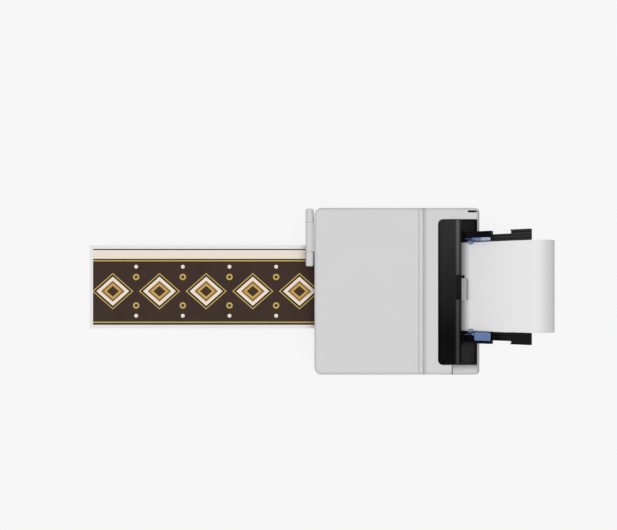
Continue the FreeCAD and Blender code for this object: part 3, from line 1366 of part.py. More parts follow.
beltHole = belt_loop("belt_hole", beltInner, beltY - s.wall, s.beltWidth + s.wall * 2)
beltForm = belt_loop("belt_outer", beltOuter, beltY, s.beltWidth)
node("carriage_belt", cut("carriage_belt", beltForm, beltHole))
for label, pulleyX in (("drive_pulley", drivePulleyX), ("idler_pulley", idlerPulleyX)):
    pulleyPlace = (pulleyX, pulleyY, s.pulleyZ)
    pulley = rod(label + "_drum", "y", pulleyPlace, s.pulleyRadius, s.pulleyWidth)
    bore = s.pulleyShaftRadius + s.runningFit
    hole = rod(label + "_bore", "y", pulleyPlace, bore, s.pulleyWidth)
    node(label, cut(label, pulley, hole))
railX0 = leftInner + s.seatGap
railX1 = rightFrameX - s.seatGap
railRear = s.railY + s.railThickness
railPlate = block("rail_plate", (railX0, s.railY, s.railLow), (railX1, railRear, s.railHigh))
railFlange = block(
    "rail_flange",
    (railX0, s.railY, s.railHigh - s.railThickness), (railX1, railRear + s.railFlangeDepth, s.railHigh),
)
idlerPost = rod(
    "idler_pulley_post", "y", (idlerPulleyX, pulleyY, s.pulleyZ),
    s.pulleyShaftRadius, s.railY + s.railThickness / 2 - pulleyY,
)
driveHole = rod(
    "drive_hole", "y", (drivePulleyX, s.railY, s.pulleyZ),
    s.pulleyShaftRadius + s.seatGap, s.railThickness,
)
node("carriage_rail", cut("carriage_rail", fuse("rail_whole", railPlate, railFlange, idlerPost), driveHole))
carriageCan = rod(
    "carriage_motor_can", "y", (drivePulleyX, railRear, s.pulleyZ),
    s.carriageMotorRadius, s.carriageMotorLength,
)
carriageShaft = rod(
    "carriage_motor_shaft", "y", (drivePulleyX, pulleyY, s.pulleyZ),
    s.pulleyShaftRadius, railRear + s.wall - pulleyY,
)
node("carriage_motor", fuse("carriage_motor", carriageCan, carriageShaft))
rodLength = rightFrameX + s.frameThickness - leftFrameX
node("carriage_rod", rod("carriage_rod", "x", (leftFrameX, s.rodY, s.rodZ), s.rodRadius, rodLength))

carriageBlock = block(
    "carriage_block",
    (carriageX0, s.rodY - s.carriageFront, s.carriageLow), (carriageRight, carriageRear, s.carriageHigh),
)
carriageRounded = rounded("carriage_rounded", carriageBlock, s.panelEdgeRadius, along("x"))
beltLow = s.pulleyZ - beltOuter
beltRunTop = beltLow + s.beltThickness
clampX0 = carriageMiddle - s.clampWidth / 2
clampBlock = block(
    "clamp_block",
    (clampX0, carriageRear - s.carriageBack / 2, beltLow - s.seatGap - s.clampJaw),
    (clampX0 + s.clampWidth, beltY + s.beltWidth, beltRunTop + s.seatGap + s.clampJaw),
)
clampSlot = block(
    "clamp_slot",
    (clampX0 - s.wall, beltY - s.seatGap, beltLow - s.seatGap),
    (clampX0 + s.clampWidth + s.wall, beltY + s.beltWidth + s.wall, beltRunTop + s.seatGap),
)
rodBore = rod("rod_bore", "x", (carriageX0, s.rodY, s.rodZ), s.rodRadius + s.runningFit, s.carriageWidth)
node("carriage", cut("carriage", fuse("carriage_whole", carriageRounded, clampBlock), clampSlot, rodBore))
headLow = sheetTop + s.headGap
node("print_head", block(
    "print_head",
    (carriageMiddle - s.headWidth / 2, s.rodY - s.headDepth / 2, headLow),
    (carriageMiddle + s.headWidth / 2, s.rodY + s.headDepth / 2, s.carriageLow),
))

# Platen under the print line, and the chute that leads the sheet down from the feeder.
platenTop = s.levelZ - s.sheetGap
platenPlateTop = platenTop - s.platenRibHeight
platenY = s.rodY - s.platenDepth / 2
platenLow = platenPlateTop - s.platenThickness
platenPieces = [block(
    "platen_plate", (railX0, platenY, platenLow), (railX1, platenY + s.platenDepth, platenPlateTop)
)]
platenRibs = int(float(s.sheetWidth) // float(s.platenRibPitch)) + 1
for index in range(platenRibs):
    ribX = rollX0 + s.platenRibPitch * index
    platenPieces.append(block(
        "platen_rib_%d" % index,
        (ribX, platenY, platenLow), (ribX + s.platenRib, platenY + s.platenDepth, platenTop),
    ))
node("platen", fuse("platen", *platenPieces))


def strip(start, steps, lowOffset, highOffset, width):
    # A band of even thickness along a path in the YZ plane: straight runs and tangent arcs.
    def side(offset):
        place = V(0, *start)
        heading = 0.0
        edges = []
        for length, turn in steps:
            left = V(0, -math.sin(heading), math.cos(heading))
            forward = V(0, math.cos(heading), math.sin(heading))
            if turn == 0:
                end = place + forward * length
                edges.append(Part.LineSegment(place + left * offset, end + left * offset).toShape())
            else:
                bend = math.copysign(1, turn)
                centre = place + left * length * bend
                reach = length - offset * bend
                marks = []
                for share in (0, 0.5, 1):
                    angle = heading + turn * share
                    outward = V(0, math.sin(angle), -math.cos(angle)) * bend
                    marks.append(centre + outward * reach)
                    end = centre + outward * length
                edges.append(Part.Arc(*marks).toShape())
                heading += turn
            place = end
        return edges

    low = side(lowOffset)
    high = side(highOffset)
    caps = [
        Part.LineSegment(low[0].Vertexes[0].Point, high[0].Vertexes[0].Point).toShape(),
        Part.LineSegment(low[-1].Vertexes[-1].Point, high[-1].Vertexes[-1].Point).toShape(),
    ]
    outline = Part.Face(Part.Wire(Part.__sortEdges__(low + high + caps)))
    return outline.extrude(V(width, 0, 0))


slope = math.radians(float(s.slopeAngle))
meetY = float(s.slopeY) - float(s.caseTop - s.levelZ) / math.tan(slope)
tangent = float(s.bendRadius) * math.tan(slope / 2)
sheetSteps = (
    (meetY - tangent - float(s.bannerEndY), 0),
    (float(s.bendRadius), slope),
    ((float(s.curlStartY) - meetY) / math.cos(slope) - tangent, 0),
    (float(s.curlRadius), -slope - math.pi / 2),
    (float(s.hangLength), 0),
)
sheetBand = strip(
    (float(s.bannerEndY), float(s.levelZ)), sheetSteps, 0, float(s.sheetThickness), float(s.sheetWidth)
)
banner = solid("banner_sheet", sheetBand)
banner.Placement = FreeCAD.Placement(V(float(rollX0), 0, 0), FreeCAD.Rotation())
node("banner_sheet", banner)
chuteEnd = float(wellY0 - s.clearance - s.chuteThickness)
chuteSteps = (
    (float(s.bendRadius), slope),
    ((chuteEnd - meetY) / math.cos(slope) - tangent, 0),
)
chuteX0 = rollX0 - s.wall
chuteBand = strip(
    (meetY - tangent, float(s.levelZ)), chuteSteps,
    -float(s.sheetGap + s.chuteThickness), -float(s.sheetGap), float(railX1 - chuteX0),
)
chute = solid("paper_chute", chuteBand)
chute.Placement = FreeCAD.Placement(V(float(chuteX0), 0, 0), FreeCAD.Rotation())
node("paper_chute", chute)

# Side frames, which carry every shaft.
frameLine = (
    (s.frameFrontY, panTop),
    (s.frameRearY, panTop),
    (s.frameRearY, s.frameRearTop),
    (s.frameShoulderY, s.frameTop),
    (s.frameFrontY, s.frameTop),
)
bearings = (
    ("rod", s.rodY, s.rodZ, s.rodRadius),
    ("feed", s.feedRollerY, driveZ, s.shaftRadius),
    ("exit", exitY, driveZ, s.shaftRadius),
    ("pinch", s.feedRollerY, pinchZ, s.pinchShaftRadius),
    ("star", exitY, starZ, s.starShaftRadius),
    ("pickup", s.pickupY, pickupZ, s.shaftRadius),
)
for side, frameX in (("left", leftFrameX), ("right", rightFrameX)):
    plate = profile("frame_plate_" + side, "x", frameLine, frameX, s.frameThickness)
    holes = []
    for bearing, y, z, radius in bearings:
        holes.append(rod(
            "frame_%s_%s" % (side, bearing), "x", (frameX, y, z), radius + s.runningFit, s.frameThickness
        ))
    if side == "left":
        idlerStart = (gearX, idlerY, driveZ)
        idlerReach = leftFrameX + s.frameThickness / 2 - gearX
        idlerStub = rod("idler_post", "x", idlerStart, s.idlerPostRadius, idlerReach)
        plate = fuse("left_frame_plate", plate, idlerStub)
        motorHole = s.motorShaftRadius + s.seatGap
        holes.append(rod("frame_left_motor", "x", (frameX, motorY, motorZ), motorHole, s.frameThickness))
    node(side + "_frame", cut(side + "_frame", plate, *holes))

# Power supply, main board, power inlet and interface ports.
supplyX = doorLeft + s.bayWall
supplyBox = block(
    "supply_box",
    (supplyX, s.supplyRearY - s.supplyLength, panTop),
    (supplyX + s.supplyWidth, s.supplyRearY, panTop + s.supplyHeight),
)
node("power_supply", rounded("power_supply", supplyBox, s.ribWidth, along("z")))
boardBack = s.wall - halfWidth
boardX = boardBack + s.boardStandoff
boardY = sideHigh - s.boardLength - s.boardStandoff
boardEnd = boardY + s.boardLength
boardTop = s.boardLow + s.boardHeight
chipFace = boardX + s.boardThickness
boardPieces = [block("board_plate", (boardX, boardY, s.boardLow), (chipFace, boardEnd, boardTop))]
standoffLength = s.boardStandoff + s.boardThickness / 2
for endName, standoffY in (("front", boardY + s.standoffInset), ("rear", boardEnd - s.standoffInset)):
    for rowName, standoffZ in (("low", s.boardLow + s.standoffInset), ("high", boardTop - s.standoffInset)):
        spot = (boardBack, standoffY, standoffZ)
        name = "board_standoff_%s_%s" % (endName, rowName)
        boardPieces.append(rod(name, "x", spot, s.screwRadius, standoffLength))
chips = (s.chipLarge, s.chipMedium, s.chipSmall)
for index, chip in enumerate(chips):
    chipY = boardY + s.boardLength * (index + 1) / (len(chips) + 1) - chip / 2
    chipZ = s.boardLow + s.boardHeight / 2 - chip / 2
    boardPieces.append(block(
        "board_chip_%d" % index,
        (boardX, chipY, chipZ), (chipFace + s.boardThickness, chipY + chip, chipZ + chip),
    ))
node("main_board", fuse("main_board", *boardPieces))

inletLow = (inletX - s.inletWidth / 2, halfDepth - s.inletDepth, s.inletZ - s.inletHeight / 2)
inletHigh = (inletX + s.inletWidth / 2, halfDepth, s.inletZ + s.inletHeight / 2)
inletRecess = block(
    "inlet_recess",
    (inletLow[0] + s.ribWidth, inletLow[1] + s.wall, inletLow[2] + s.ribWidth),
    (inletHigh[0] - s.ribWidth, halfDepth + s.wall, inletHigh[2] - s.ribWidth),
)
inletPins = []
for index, (across, up) in enumerate(((-1, -1), (1, -1), (0, 1))):
    pinX = inletX + s.inletPinPitch * across
    pinZ = s.inletZ + s.ribWidth * up + s.ribWidth
    inletPins.append(block(
        "inlet_pin_%d" % index,
        (pinX - s.ribWidth / 2, inletLow[1], pinZ - s.ribWidth),
        (pinX + s.ribWidth / 2, halfDepth - s.wall, pinZ + s.ribWidth),
    ))
inletShell = cut("inlet_shell", block("inlet_block", inletLow, inletHigh), inletRecess)
node("power_inlet", fuse("power_inlet", inletShell, *inletPins))
portLow = (portX, halfDepth - s.portDepth, s.portZ)
portHigh = (portX + s.portWidth, halfDepth, s.portZ + s.portHeight)
portMiddle = portX + s.portWidth / 2
portSockets = []
for side, low, high in (
    ("left", portX + s.ribWidth, portMiddle - s.ribWidth / 2),
    ("right", portMiddle + s.ribWidth / 2, portX + s.portWidth - s.ribWidth),
):
    portSockets.append(block(
        "port_socket_" + side,
        (low, portLow[1] + s.wall, s.portZ + s.ribWidth),
        (high, halfDepth + s.wall, s.portZ + s.portHeight - s.ribWidth),
    ))
node("interface_ports", cut("interface_ports", block("port_block", portLow, portHigh), *portSockets))

# Hinge pins of the lid, panel, tray, guard and ink door, and the rear panel's screws.
node("hinge_pins", group("hinge_pins", hingePins))
screws = []
screwReach = halfWidth - s.screwInset - s.rearCornerRadius
for index, (across, height) in enumerate((
    (-1, s.footHeight + s.screwInset), (1, s.footHeight + s.screwInset),
    (-1, lowerTop - s.screwInset), (1, lowerTop - s.screwInset),
)):
    spot = (screwReach * across, halfDepth, height)
    screws.append(rod("screw_%d" % index, "y", spot, s.screwRadius, s.screwHeadHeight))
node("screws", group("screws", screws))


# Every object is checked before anything is written.
doc.recompute()
faulty = [thing.Label for thing in doc.Objects if "Invalid" in thing.State or "Error" in thing.State]
faulty += [thing.Label for thing in nodes if thing.Shape.isNull() or not thing.Shape.isValid()]
if faulty:
    raise RuntimeError("failed objects: " + ", ".join(faulty))
os.makedirs("parts", exist_ok=True)
for thing in nodes:
    thing.Shape.exportStep("parts/%s.step" % thing.Label)
    print("%s: %d solids, %.0f mm3" % (thing.Label, len(thing.Shape.Solids), thing.Shape.Volume))
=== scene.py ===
import bmesh
import bpy
import json
import math
from mathutils import Matrix, Vector

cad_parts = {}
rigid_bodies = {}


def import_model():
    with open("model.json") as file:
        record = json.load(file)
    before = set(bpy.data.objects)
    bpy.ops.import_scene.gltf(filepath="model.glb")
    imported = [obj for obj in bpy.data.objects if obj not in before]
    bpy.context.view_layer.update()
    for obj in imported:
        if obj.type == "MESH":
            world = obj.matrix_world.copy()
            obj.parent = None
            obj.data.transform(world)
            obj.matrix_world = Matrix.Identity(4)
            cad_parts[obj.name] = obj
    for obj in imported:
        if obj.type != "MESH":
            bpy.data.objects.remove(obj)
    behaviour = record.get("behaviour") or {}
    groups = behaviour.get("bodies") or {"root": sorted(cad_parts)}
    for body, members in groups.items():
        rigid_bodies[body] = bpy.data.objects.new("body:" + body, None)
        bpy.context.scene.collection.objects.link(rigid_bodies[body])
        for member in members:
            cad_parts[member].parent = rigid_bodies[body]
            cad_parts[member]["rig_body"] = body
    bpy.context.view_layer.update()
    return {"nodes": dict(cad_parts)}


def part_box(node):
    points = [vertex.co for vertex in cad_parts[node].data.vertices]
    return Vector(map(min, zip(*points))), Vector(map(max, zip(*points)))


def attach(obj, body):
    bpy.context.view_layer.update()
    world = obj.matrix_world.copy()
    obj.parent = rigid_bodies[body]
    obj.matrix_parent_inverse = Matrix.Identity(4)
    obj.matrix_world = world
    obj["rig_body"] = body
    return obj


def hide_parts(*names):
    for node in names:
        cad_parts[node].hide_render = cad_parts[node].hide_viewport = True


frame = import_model()
nodes = frame["nodes"]
collection = bpy.context.scene.collection


# camera: straight above, with the printer's front to the left of the picture
cameraSet = {
    "place": (-0.0006, -0.179, 2.018),
    "lens": 44.2,
    "sensor": 36.0,
    "shift": (-0.0219, 0.0421),
    "clipEnd": 50,
}


def addCamera():
    data = bpy.data.cameras.new("topCamera")
    data.lens = cameraSet["lens"]
    data.sensor_width = cameraSet["sensor"]
    data.shift_x, data.shift_y = cameraSet["shift"]
    data.clip_end = cameraSet["clipEnd"]
    camera = bpy.data.objects.new("topCamera", data)
    right, up, back = Vector((0, 1, 0)), Vector((-1, 0, 0)), Vector((0, 0, 1))
    turn = Matrix((right, up, back)).transposed().to_4x4()
    camera.matrix_world = Matrix.Translation(cameraSet["place"]) @ turn
    collection.objects.link(camera)
    bpy.context.scene.camera = camera


addCamera()
print("camera: set over the case")


# light: a soft overhead bank under a dome that darkens towards the horizon
lightSet = {
    "zenith": 0.38,
    "horizon": 0.04,
    "backdrop": 0.92,
    # name, where it shines from, strength, width in degrees, whether gloss shows it
    "suns": (
        ("overheadBank", (0.03, 0.03, 1.0), 2.2, 28, False),
        ("frontStrip", (-0.15, -0.94, 0.34), 0.36, 18, True),
        ("leftFill", (-1.0, 0.1, 0.5), 0.10, 45, True),
        ("rightFill", (1.0, 0.1, 0.5), 0.05, 45, True),
        ("rearFill", (-0.2, 1.0, 0.5), 0.06, 45, True),
    ),
}


def addDome():
    world = bpy.data.worlds.new("studio")
    world.use_nodes = True
    tree = world.node_tree
    tree.nodes.clear()
    place = tree.nodes.new("ShaderNodeTexCoord")
    split = tree.nodes.new("ShaderNodeSeparateXYZ")
    fall = tree.nodes.new("ShaderNodeMapRange")
    fall.inputs["To Min"].default_value = lightSet["horizon"]
    fall.inputs["To Max"].default_value = lightSet["zenith"]
    dome = tree.nodes.new("ShaderNodeBackground")
    backdrop = tree.nodes.new("ShaderNodeBackground")
    backdrop.inputs["Strength"].default_value = lightSet["backdrop"]
    for shader in (dome, backdrop):
        shader.inputs["Color"].default_value = (1, 1, 1, 1)
    path = tree.nodes.new("ShaderNodeLightPath")
    pick = tree.nodes.new("ShaderNodeMixShader")
    output = tree.nodes.new("ShaderNodeOutputWorld")
    tree.links.new(place.outputs["Generated"], split.inputs["Vector"])
    tree.links.new(split.outputs["Z"], fall.inputs["Value"])
    tree.links.new(fall.outputs["Result"], dome.inputs["Strength"])
    tree.links.new(path.outputs["Is Camera Ray"], pick.inputs["Fac"])
    tree.links.new(dome.outputs["Background"], pick.inputs[1])
    tree.links.new(backdrop.outputs["Background"], pick.inputs[2])
    tree.links.new(pick.outputs["Shader"], output.inputs["Surface"])
    bpy.context.scene.world = world


def addSuns():
    for name, source, strength, width, shines in lightSet["suns"]:
        lamp = bpy.data.lights.new(name, "SUN")
        lamp.energy = strength
        lamp.angle = math.radians(width)
        sun = bpy.data.objects.new(name, lamp)
        sun.rotation_euler = Vector(source).to_track_quat("Z", "Y").to_euler()
        sun.visible_glossy = shines
        collection.objects.link(sun)


addDome()
addSuns()
bpy.context.scene.view_settings.view_transform = "Standard"
print("light: studio set")


# shader building blocks
materials = {}


def startMaterial(name):
    material = bpy.data.materials.new(name)
    materials[name] = material
    material.use_nodes = True
    tree = material.node_tree
    tree.nodes.clear()
    shader = tree.nodes.new("ShaderNodeBsdfPrincipled")
    output = tree.nodes.new("ShaderNodeOutputMaterial")
    tree.links.new(shader.outputs["BSDF"], output.inputs["Surface"])
    return tree, shader


def linear(red, green, blue):
    def one(value):
        share = value / 255
        return share / 12.92 if share <= 0.04045 else ((share + 0.055) / 1.055) ** 2.4
    return (one(red), one(green), one(blue), 1)


def objectPoint(tree, scale=(1, 1, 1), turn=(0, 0, 0)):
    place = tree.nodes.new("ShaderNodeTexCoord")
    mapping = tree.nodes.new("ShaderNodeMapping")
    mapping.inputs["Scale"].default_value = scale
    mapping.inputs["Rotation"].default_value = turn
    tree.links.new(place.outputs["Object"], mapping.inputs["Vector"])
    return mapping.outputs["Vector"]


def axes(tree, point):
    split = tree.nodes.new("ShaderNodeSeparateXYZ")
    tree.links.new(point, split.inputs["Vector"])
    return split.outputs["X"], split.outputs["Y"], split.outputs["Z"]


def noise(tree, point, scale, detail=3):
    texture = tree.nodes.new("ShaderNodeTexNoise")
    texture.inputs["Scale"].default_value = scale
    texture.inputs["Detail"].default_value = detail
    tree.links.new(point, texture.inputs["Vector"])
    return texture.outputs["Fac"]


def spread(tree, value, low, high, start=0.0, end=1.0):
    remap = tree.nodes.new("ShaderNodeMapRange")
    remap.inputs["From Min"].default_value = start
    remap.inputs["From Max"].default_value = end
    remap.inputs["To Min"].default_value = low
    remap.inputs["To Max"].default_value = high
    tree.links.new(value, remap.inputs["Value"])
    return remap.outputs["Result"]


def mathNode(tree, operation, first, second=None):
    node = tree.nodes.new("ShaderNodeMath")
    node.operation = operation
    for socket, value in zip(node.inputs, (first, second)):
        if isinstance(value, (int, float)):
            socket.default_value = value
        elif value is not None:
            tree.links.new(value, socket)
    return node.outputs[0]


def both(tree, first, second):
    return mathNode(tree, "MULTIPLY", first, second)


def beyond(tree, value, edge):
    return mathNode(tree, "GREATER_THAN", value, edge)


def short(tree, value, edge):
    return mathNode(tree, "LESS_THAN", value, edge)


def between(tree, value, low, high):
    return both(tree, beyond(tree, value, low), short(tree, value, high))


# rises from the first place to the second, and falls from the third to the fourth
def swell(tree, value, start, full, hold, end):
    return both(tree, spread(tree, value, 0, 1, start, full), spread(tree, value, 1, 0, hold, end))


# how far a place lies from the middle of its repeat, as a share of the pitch
def fromMiddle(tree, place, pitch):
    share = mathNode(tree, "FRACT", mathNode(tree, "DIVIDE", place, pitch))
    return mathNode(tree, "ABSOLUTE", mathNode(tree, "SUBTRACT", share, 0.5))


# a colour is a screen value or another node's output
def blendColours(tree, amount, first, second):
    mix = tree.nodes.new("ShaderNodeMix")
    mix.data_type = "RGBA"
    tree.links.new(amount, mix.inputs["Factor"])
    for socket, colour in ((mix.inputs[6], first), (mix.inputs[7], second)):  # A and B of the colours
        if isinstance(colour, tuple):
            socket.default_value = linear(*colour)
        else:
            tree.links.new(colour, socket)
    return mix.outputs[2]


def paint(tree, shader, colour):
    tree.links.new(colour, shader.inputs["Base Color"])


def gloss(tree, shader, value, limits):
    tree.links.new(spread(tree, value, *limits), shader.inputs["Roughness"])


def bump(tree, shader, height, distance):
    node = tree.nodes.new("ShaderNodeBump")
    node.inputs["Distance"].default_value = distance
    tree.links.new(height, node.inputs["Height"])
    tree.links.new(node.outputs["Normal"], shader.inputs["Normal"])


# moulded plastics: a spark-eroded grain, a faint mottle and uneven gloss
mouldSet = {"mottle": (9, 4), "gloss": 60, "grainDetail": 2}  # noise scales and details
plastics = {
    "caseGrey": {"colour": (212, 211, 211), "shade": (207, 206, 207), "rough": (0.5, 0.62),
                 "grain": 1900, "depth": 0.00003, "specular": 0.3},
    "trayBlack": {"colour": (22, 21, 22), "shade": (16, 15, 16), "rough": (0.5, 0.62),
                  "grain": 1500, "depth": 0.00004, "specular": 0.25},
    "innerBlack": {"colour": (38, 38, 40), "shade": (30, 30, 32), "rough": (0.5, 0.65),
                   "grain": 1200, "depth": 0.00005, "specular": 0.3},
    "buttonGrey": {"colour": (92, 93, 96), "shade": (82, 83, 86), "rough": (0.4, 0.5),
                   "grain": 2200, "depth": 0.00002, "specular": 0.4},
    "markWhite": {"colour": (226, 227, 229), "shade": (214, 215, 218), "rough": (0.4, 0.55),
                  "grain": 2600, "depth": 0.00001, "specular": 0.3},
    "gearIvory": {"colour": (226, 222, 208), "shade": (214, 209, 194), "rough": (0.35, 0.48),
                  "grain": 1600, "depth": 0.00002, "specular": 0.4},
}


def moulded(name, look, colourOf):
    tree, shader = startMaterial(name)
    point = objectPoint(tree)
    paint(tree, shader, colourOf(tree, point, noise(tree, point, *mouldSet["mottle"])))
    gloss(tree, shader, noise(tree, point, mouldSet["gloss"]), look["rough"])
    shader.inputs["Specular IOR Level"].default_value = look["specular"]
    bump(tree, shader, noise(tree, point, look["grain"], mouldSet["grainDetail"]), look["depth"])


def plain(look):
    def colourOf(tree, point, mottle):
        return blendColours(tree, mottle, look["shade"], look["colour"])
    return colourOf


# runs from one end of a piece to the other, broken up by the mottle
def uneven(tree, place, mottle, look):
    share = spread(tree, place, 0, 1, *look["ends"])
    return mathNode(tree, "ADD", share, spread(tree, mottle, -look["mottle"], look["mottle"]))


for plasticName, plasticLook in plastics.items():
    moulded(plasticName, plasticLook, plain(plasticLook))


# top covers: the same grey, with painted shade in the deck's groove, along the rim behind
# the well, on the corner cover where it falls towards the well, and at the seam where it meets the deck
coverSet = {
    "groove": (0.0606, 0.0612, 0.0640, 0.0730), "grooveShade": (180, 179, 180),
    "rim": (0.1885, 0.1935), "rimShade": (168, 167, 168),
    "corner": (0.1775, 0.1925), "cornerShade": (174, 173, 174), "cornerFrom": 0.1318,
    "seam": (0.1302, 0.1334), "seamShade": (140, 139, 140), "seamFrom": 0.1745,
}


def coverColour(tree, point, mottle):
    across, along, _ = axes(tree, point)
    outside = beyond(tree, across, coverSet["seamFrom"])
    behind = beyond(tree, along, coverSet["cornerFrom"])
    corner = both(tree, spread(tree, across, 1, 0, *coverSet["corner"]), behind)
    tone = plain(plastics["caseGrey"])(tree, point, mottle)
    # painted shade: darker tones in the groove, along the rim, on the corner cover and at its seam
    for share, shade in (
        (swell(tree, along, *coverSet["groove"]), "grooveShade"),
        (spread(tree, along, 0, 1, *coverSet["rim"]), "rimShade"),
        (both(tree, corner, outside), "cornerShade"),
        (both(tree, between(tree, along, *coverSet["seam"]), outside), "seamShade"),
    ):
        tone = blendColours(tree, share, tone, coverSet[shade])
    return tone


moulded("lidGrey", plastics["caseGrey"], coverColour)


# feeder guard: black flap with a painted sheen that is paler towards its left end, and a painted
# highlight along the rounded bar at its rear edge
guardSet = {
    "paleEnd": (47, 47, 48), "darkEnd": (8, 8, 9), "ends": (-0.165, 0.10), "mottle": 0.08,
    "barPale": (90, 90, 92), "barDark": (56, 55, 57), "bar": (0.1372, 0.1405, 0.1440, 0.1478),
    "notch": (-0.0385, 0.020), "rough": (0.4, 0.5), "grain": 1700, "depth": 0.00003, "specular": 0.12,
}


def guardColour(tree, point, mottle):
    across, along, _ = axes(tree, point)
    share = uneven(tree, across, mottle, guardSet)
    flap = blendColours(tree, share, guardSet["paleEnd"], guardSet["darkEnd"])
    # painted highlight along the bar, paler towards the left like the flap's painted sheen
    paintedHighlight = blendColours(tree, share, guardSet["barPale"], guardSet["barDark"])
    bar = swell(tree, along, *guardSet["bar"])
    beside = mathNode(tree, "SUBTRACT", 1.0, between(tree, across, *guardSet["notch"]))
    return blendColours(tree, both(tree, bar, beside), flap, paintedHighlight)


moulded("guardBlack", guardSet, guardColour)


# feeder well: matt black with painted shade that darkens it towards its left end, and the guard's black
# along its front lip
wellSet = {
    "shadedEnd": (30, 30, 30), "lighterEnd": (42, 41, 42), "ends": (-0.16, 0.12), "mottle": 0.1, "lip": 0.118,
    "rough": (0.55, 0.68), "grain": 1500, "depth": 0.00004, "specular": 0.15,
}


def wellColour(tree, point, mottle):
    across, along, _ = axes(tree, point)
    # painted shade: darkest at the left end, lighter towards the right
    well = blendColours(tree, uneven(tree, across, mottle, wellSet), wellSet["shadedEnd"], wellSet["lighterEnd"])
    lip = short(tree, along, wellSet["lip"])
    return blendColours(tree, lip, well, guardColour(tree, point, mottle))


moulded("wellBlack", wellSet, wellColour)


# tray extension: black, with painted highlights in fine lengthwise streaks that stand for its ribs, and
# painted shade that darkens it towards its right end
streakSet = {
    "colour": (30, 29, 30), "paintedHighlight": (74, 73, 75), "pitch": 0.0068, "streak": (0.072, 0.24),
    "highlightVariation": (0.4, 0.9), "shadedEnd": (6, 6, 6), "ends": (-0.13, 0.17),
    "rough": (0.5, 0.62), "grain": 1500, "depth": 0.00004, "specular": 0.2,
}


def streakColour(tree, point, mottle):
    across, _, _ = axes(tree, point)
    # painted highlights: paler lengthwise streaks, uneven in strength, where ribs would catch the light
    streak = spread(tree, fromMiddle(tree, across, streakSet["pitch"]), 1, 0, *streakSet["streak"])
    paintedHighlight = both(tree, streak, spread(tree, mottle, *streakSet["highlightVariation"]))
    tone = blendColours(tree, paintedHighlight, streakSet["colour"], streakSet["paintedHighlight"])
    # painted shade: darker towards the right end
    return blendColours(tree, spread(tree, across, 0, 1, *streakSet["ends"]), tone, streakSet["shadedEnd"])


moulded("streakedBlack", streakSet, streakColour)


# grey tab: lighter towards its rear, with painted shade along its rear edge
tabSet = {
    "front": (150, 150, 152), "rear": (170, 170, 172), "ends": (0.150, 0.162), "mottle": 0.1,
    "edge": (132, 132, 134), "edgeFrom": 0.1628,
    "rough": (0.42, 0.52), "grain": 2000, "depth": 0.00003, "specular": 0.3,
}


def tabColour(tree, point, mottle):
    _, along, _ = axes(tree, point)
    tone = blendColours(tree, uneven(tree, along, mottle, tabSet), tabSet["front"], tabSet["rear"])
    # painted shade along the rear edge
    return blendColours(tree, beyond(tree, along, tabSet["edgeFrom"]), tone, tabSet["edge"])


moulded("tabGrey", tabSet, tabColour)


# the tray's slope, from which heights off the paper and distances up it are measured
slopeSet = {"angle": 34.6, "foot": (0.1548, 0.212)}
slope = math.radians(slopeSet["angle"])
rise, run = math.sin(slope), math.cos(slope)
footY, footZ = slopeSet["foot"]


def slopeMeasures(tree, point):
    _, along, height = axes(tree, point)
    back = mathNode(tree, "SUBTRACT", along, footY)
    lift = mathNode(tree, "SUBTRACT", height, footZ)
    up = mathNode(tree, "ADD", both(tree, back, run), both(tree, lift, rise))
    off = mathNode(tree, "SUBTRACT", both(tree, lift, run), both(tree, back, rise))
    return up, off


def onSlope(across, up, off):
    return Vector((across, footY + up * run - off * rise, footZ + up * rise + off * run))


# paper guides: black with a blue finger ring; the left lever has a painted highlight that pales it
# towards its upper end
guideSet = {
    "blue": (108, 132, 178), "blueShade": (98, 122, 168), "paintedLitEnd": (164, 177, 206), "black": (4, 4, 5),
    "footHigh": 0.0031, "ring": (0.0205, 0.0335), "paleRun": (0.053, 0.058), "leftOf": 0.0,
    "rough": (0.36, 0.48), "grain": 2100, "depth": 0.00002, "specular": 0.1,
}


def guideBlue(tree, mottle):
    return blendColours(tree, mottle, guideSet["blueShade"], guideSet["blue"])


def guideColour(tree, point, mottle):
    up, off = slopeMeasures(tree, point)
    ring = both(tree, between(tree, up, *guideSet["ring"]), beyond(tree, off, guideSet["footHigh"]))
    return blendColours(tree, ring, guideSet["black"], guideBlue(tree, mottle))


def leverColour(tree, point, mottle):
    up, _ = slopeMeasures(tree, point)
    across, _, _ = axes(tree, point)
    # painted highlight on the left lever's upper end
    left = short(tree, across, guideSet["leftOf"])
    paintedLitEnd = both(tree, spread(tree, up, 0, 1, *guideSet["paleRun"]), left)
    return blendColours(tree, paintedLitEnd, guideBlue(tree, mottle), guideSet["paintedLitEnd"])


moulded("guideTwoTone", guideSet, guideColour)
moulded("leverBlue", guideSet, leverColour)


# ink cartridges: black shells, each with a band of its own ink colour round the handle
inkSet = {
    "inks": ((26, 26, 29), (0, 142, 190), (196, 30, 110), (236, 200, 30)), "band": (0.25, 0.8),
    "shell": (40, 40, 43), "shellShade": (32, 32, 35),
    "rough": (0.3, 0.42), "grain": 1400, "depth": 0.00003, "specular": 0.4,
}


def inkColour(tree, point, mottle):
    low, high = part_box("ink_cartridges")
    across, _, height = axes(tree, point)
    pitch = (high.x - low.x) / len(inkSet["inks"])
    ink = inkSet["inks"][0]
    for index, following in enumerate(inkSet["inks"][1:], 1):
        ink = blendColours(tree, beyond(tree, across, low.x + pitch * index), ink, following)
    bandLow, bandHigh = (low.z + (high.z - low.z) * share for share in inkSet["band"])
    shell = blendColours(tree, mottle, inkSet["shellShade"], inkSet["shell"])
    return blendColours(tree, between(tree, height, bandLow, bandHigh), shell, ink)


moulded("inkBanded", inkSet, inkColour)
print("materials:", len(materials), "plastics")


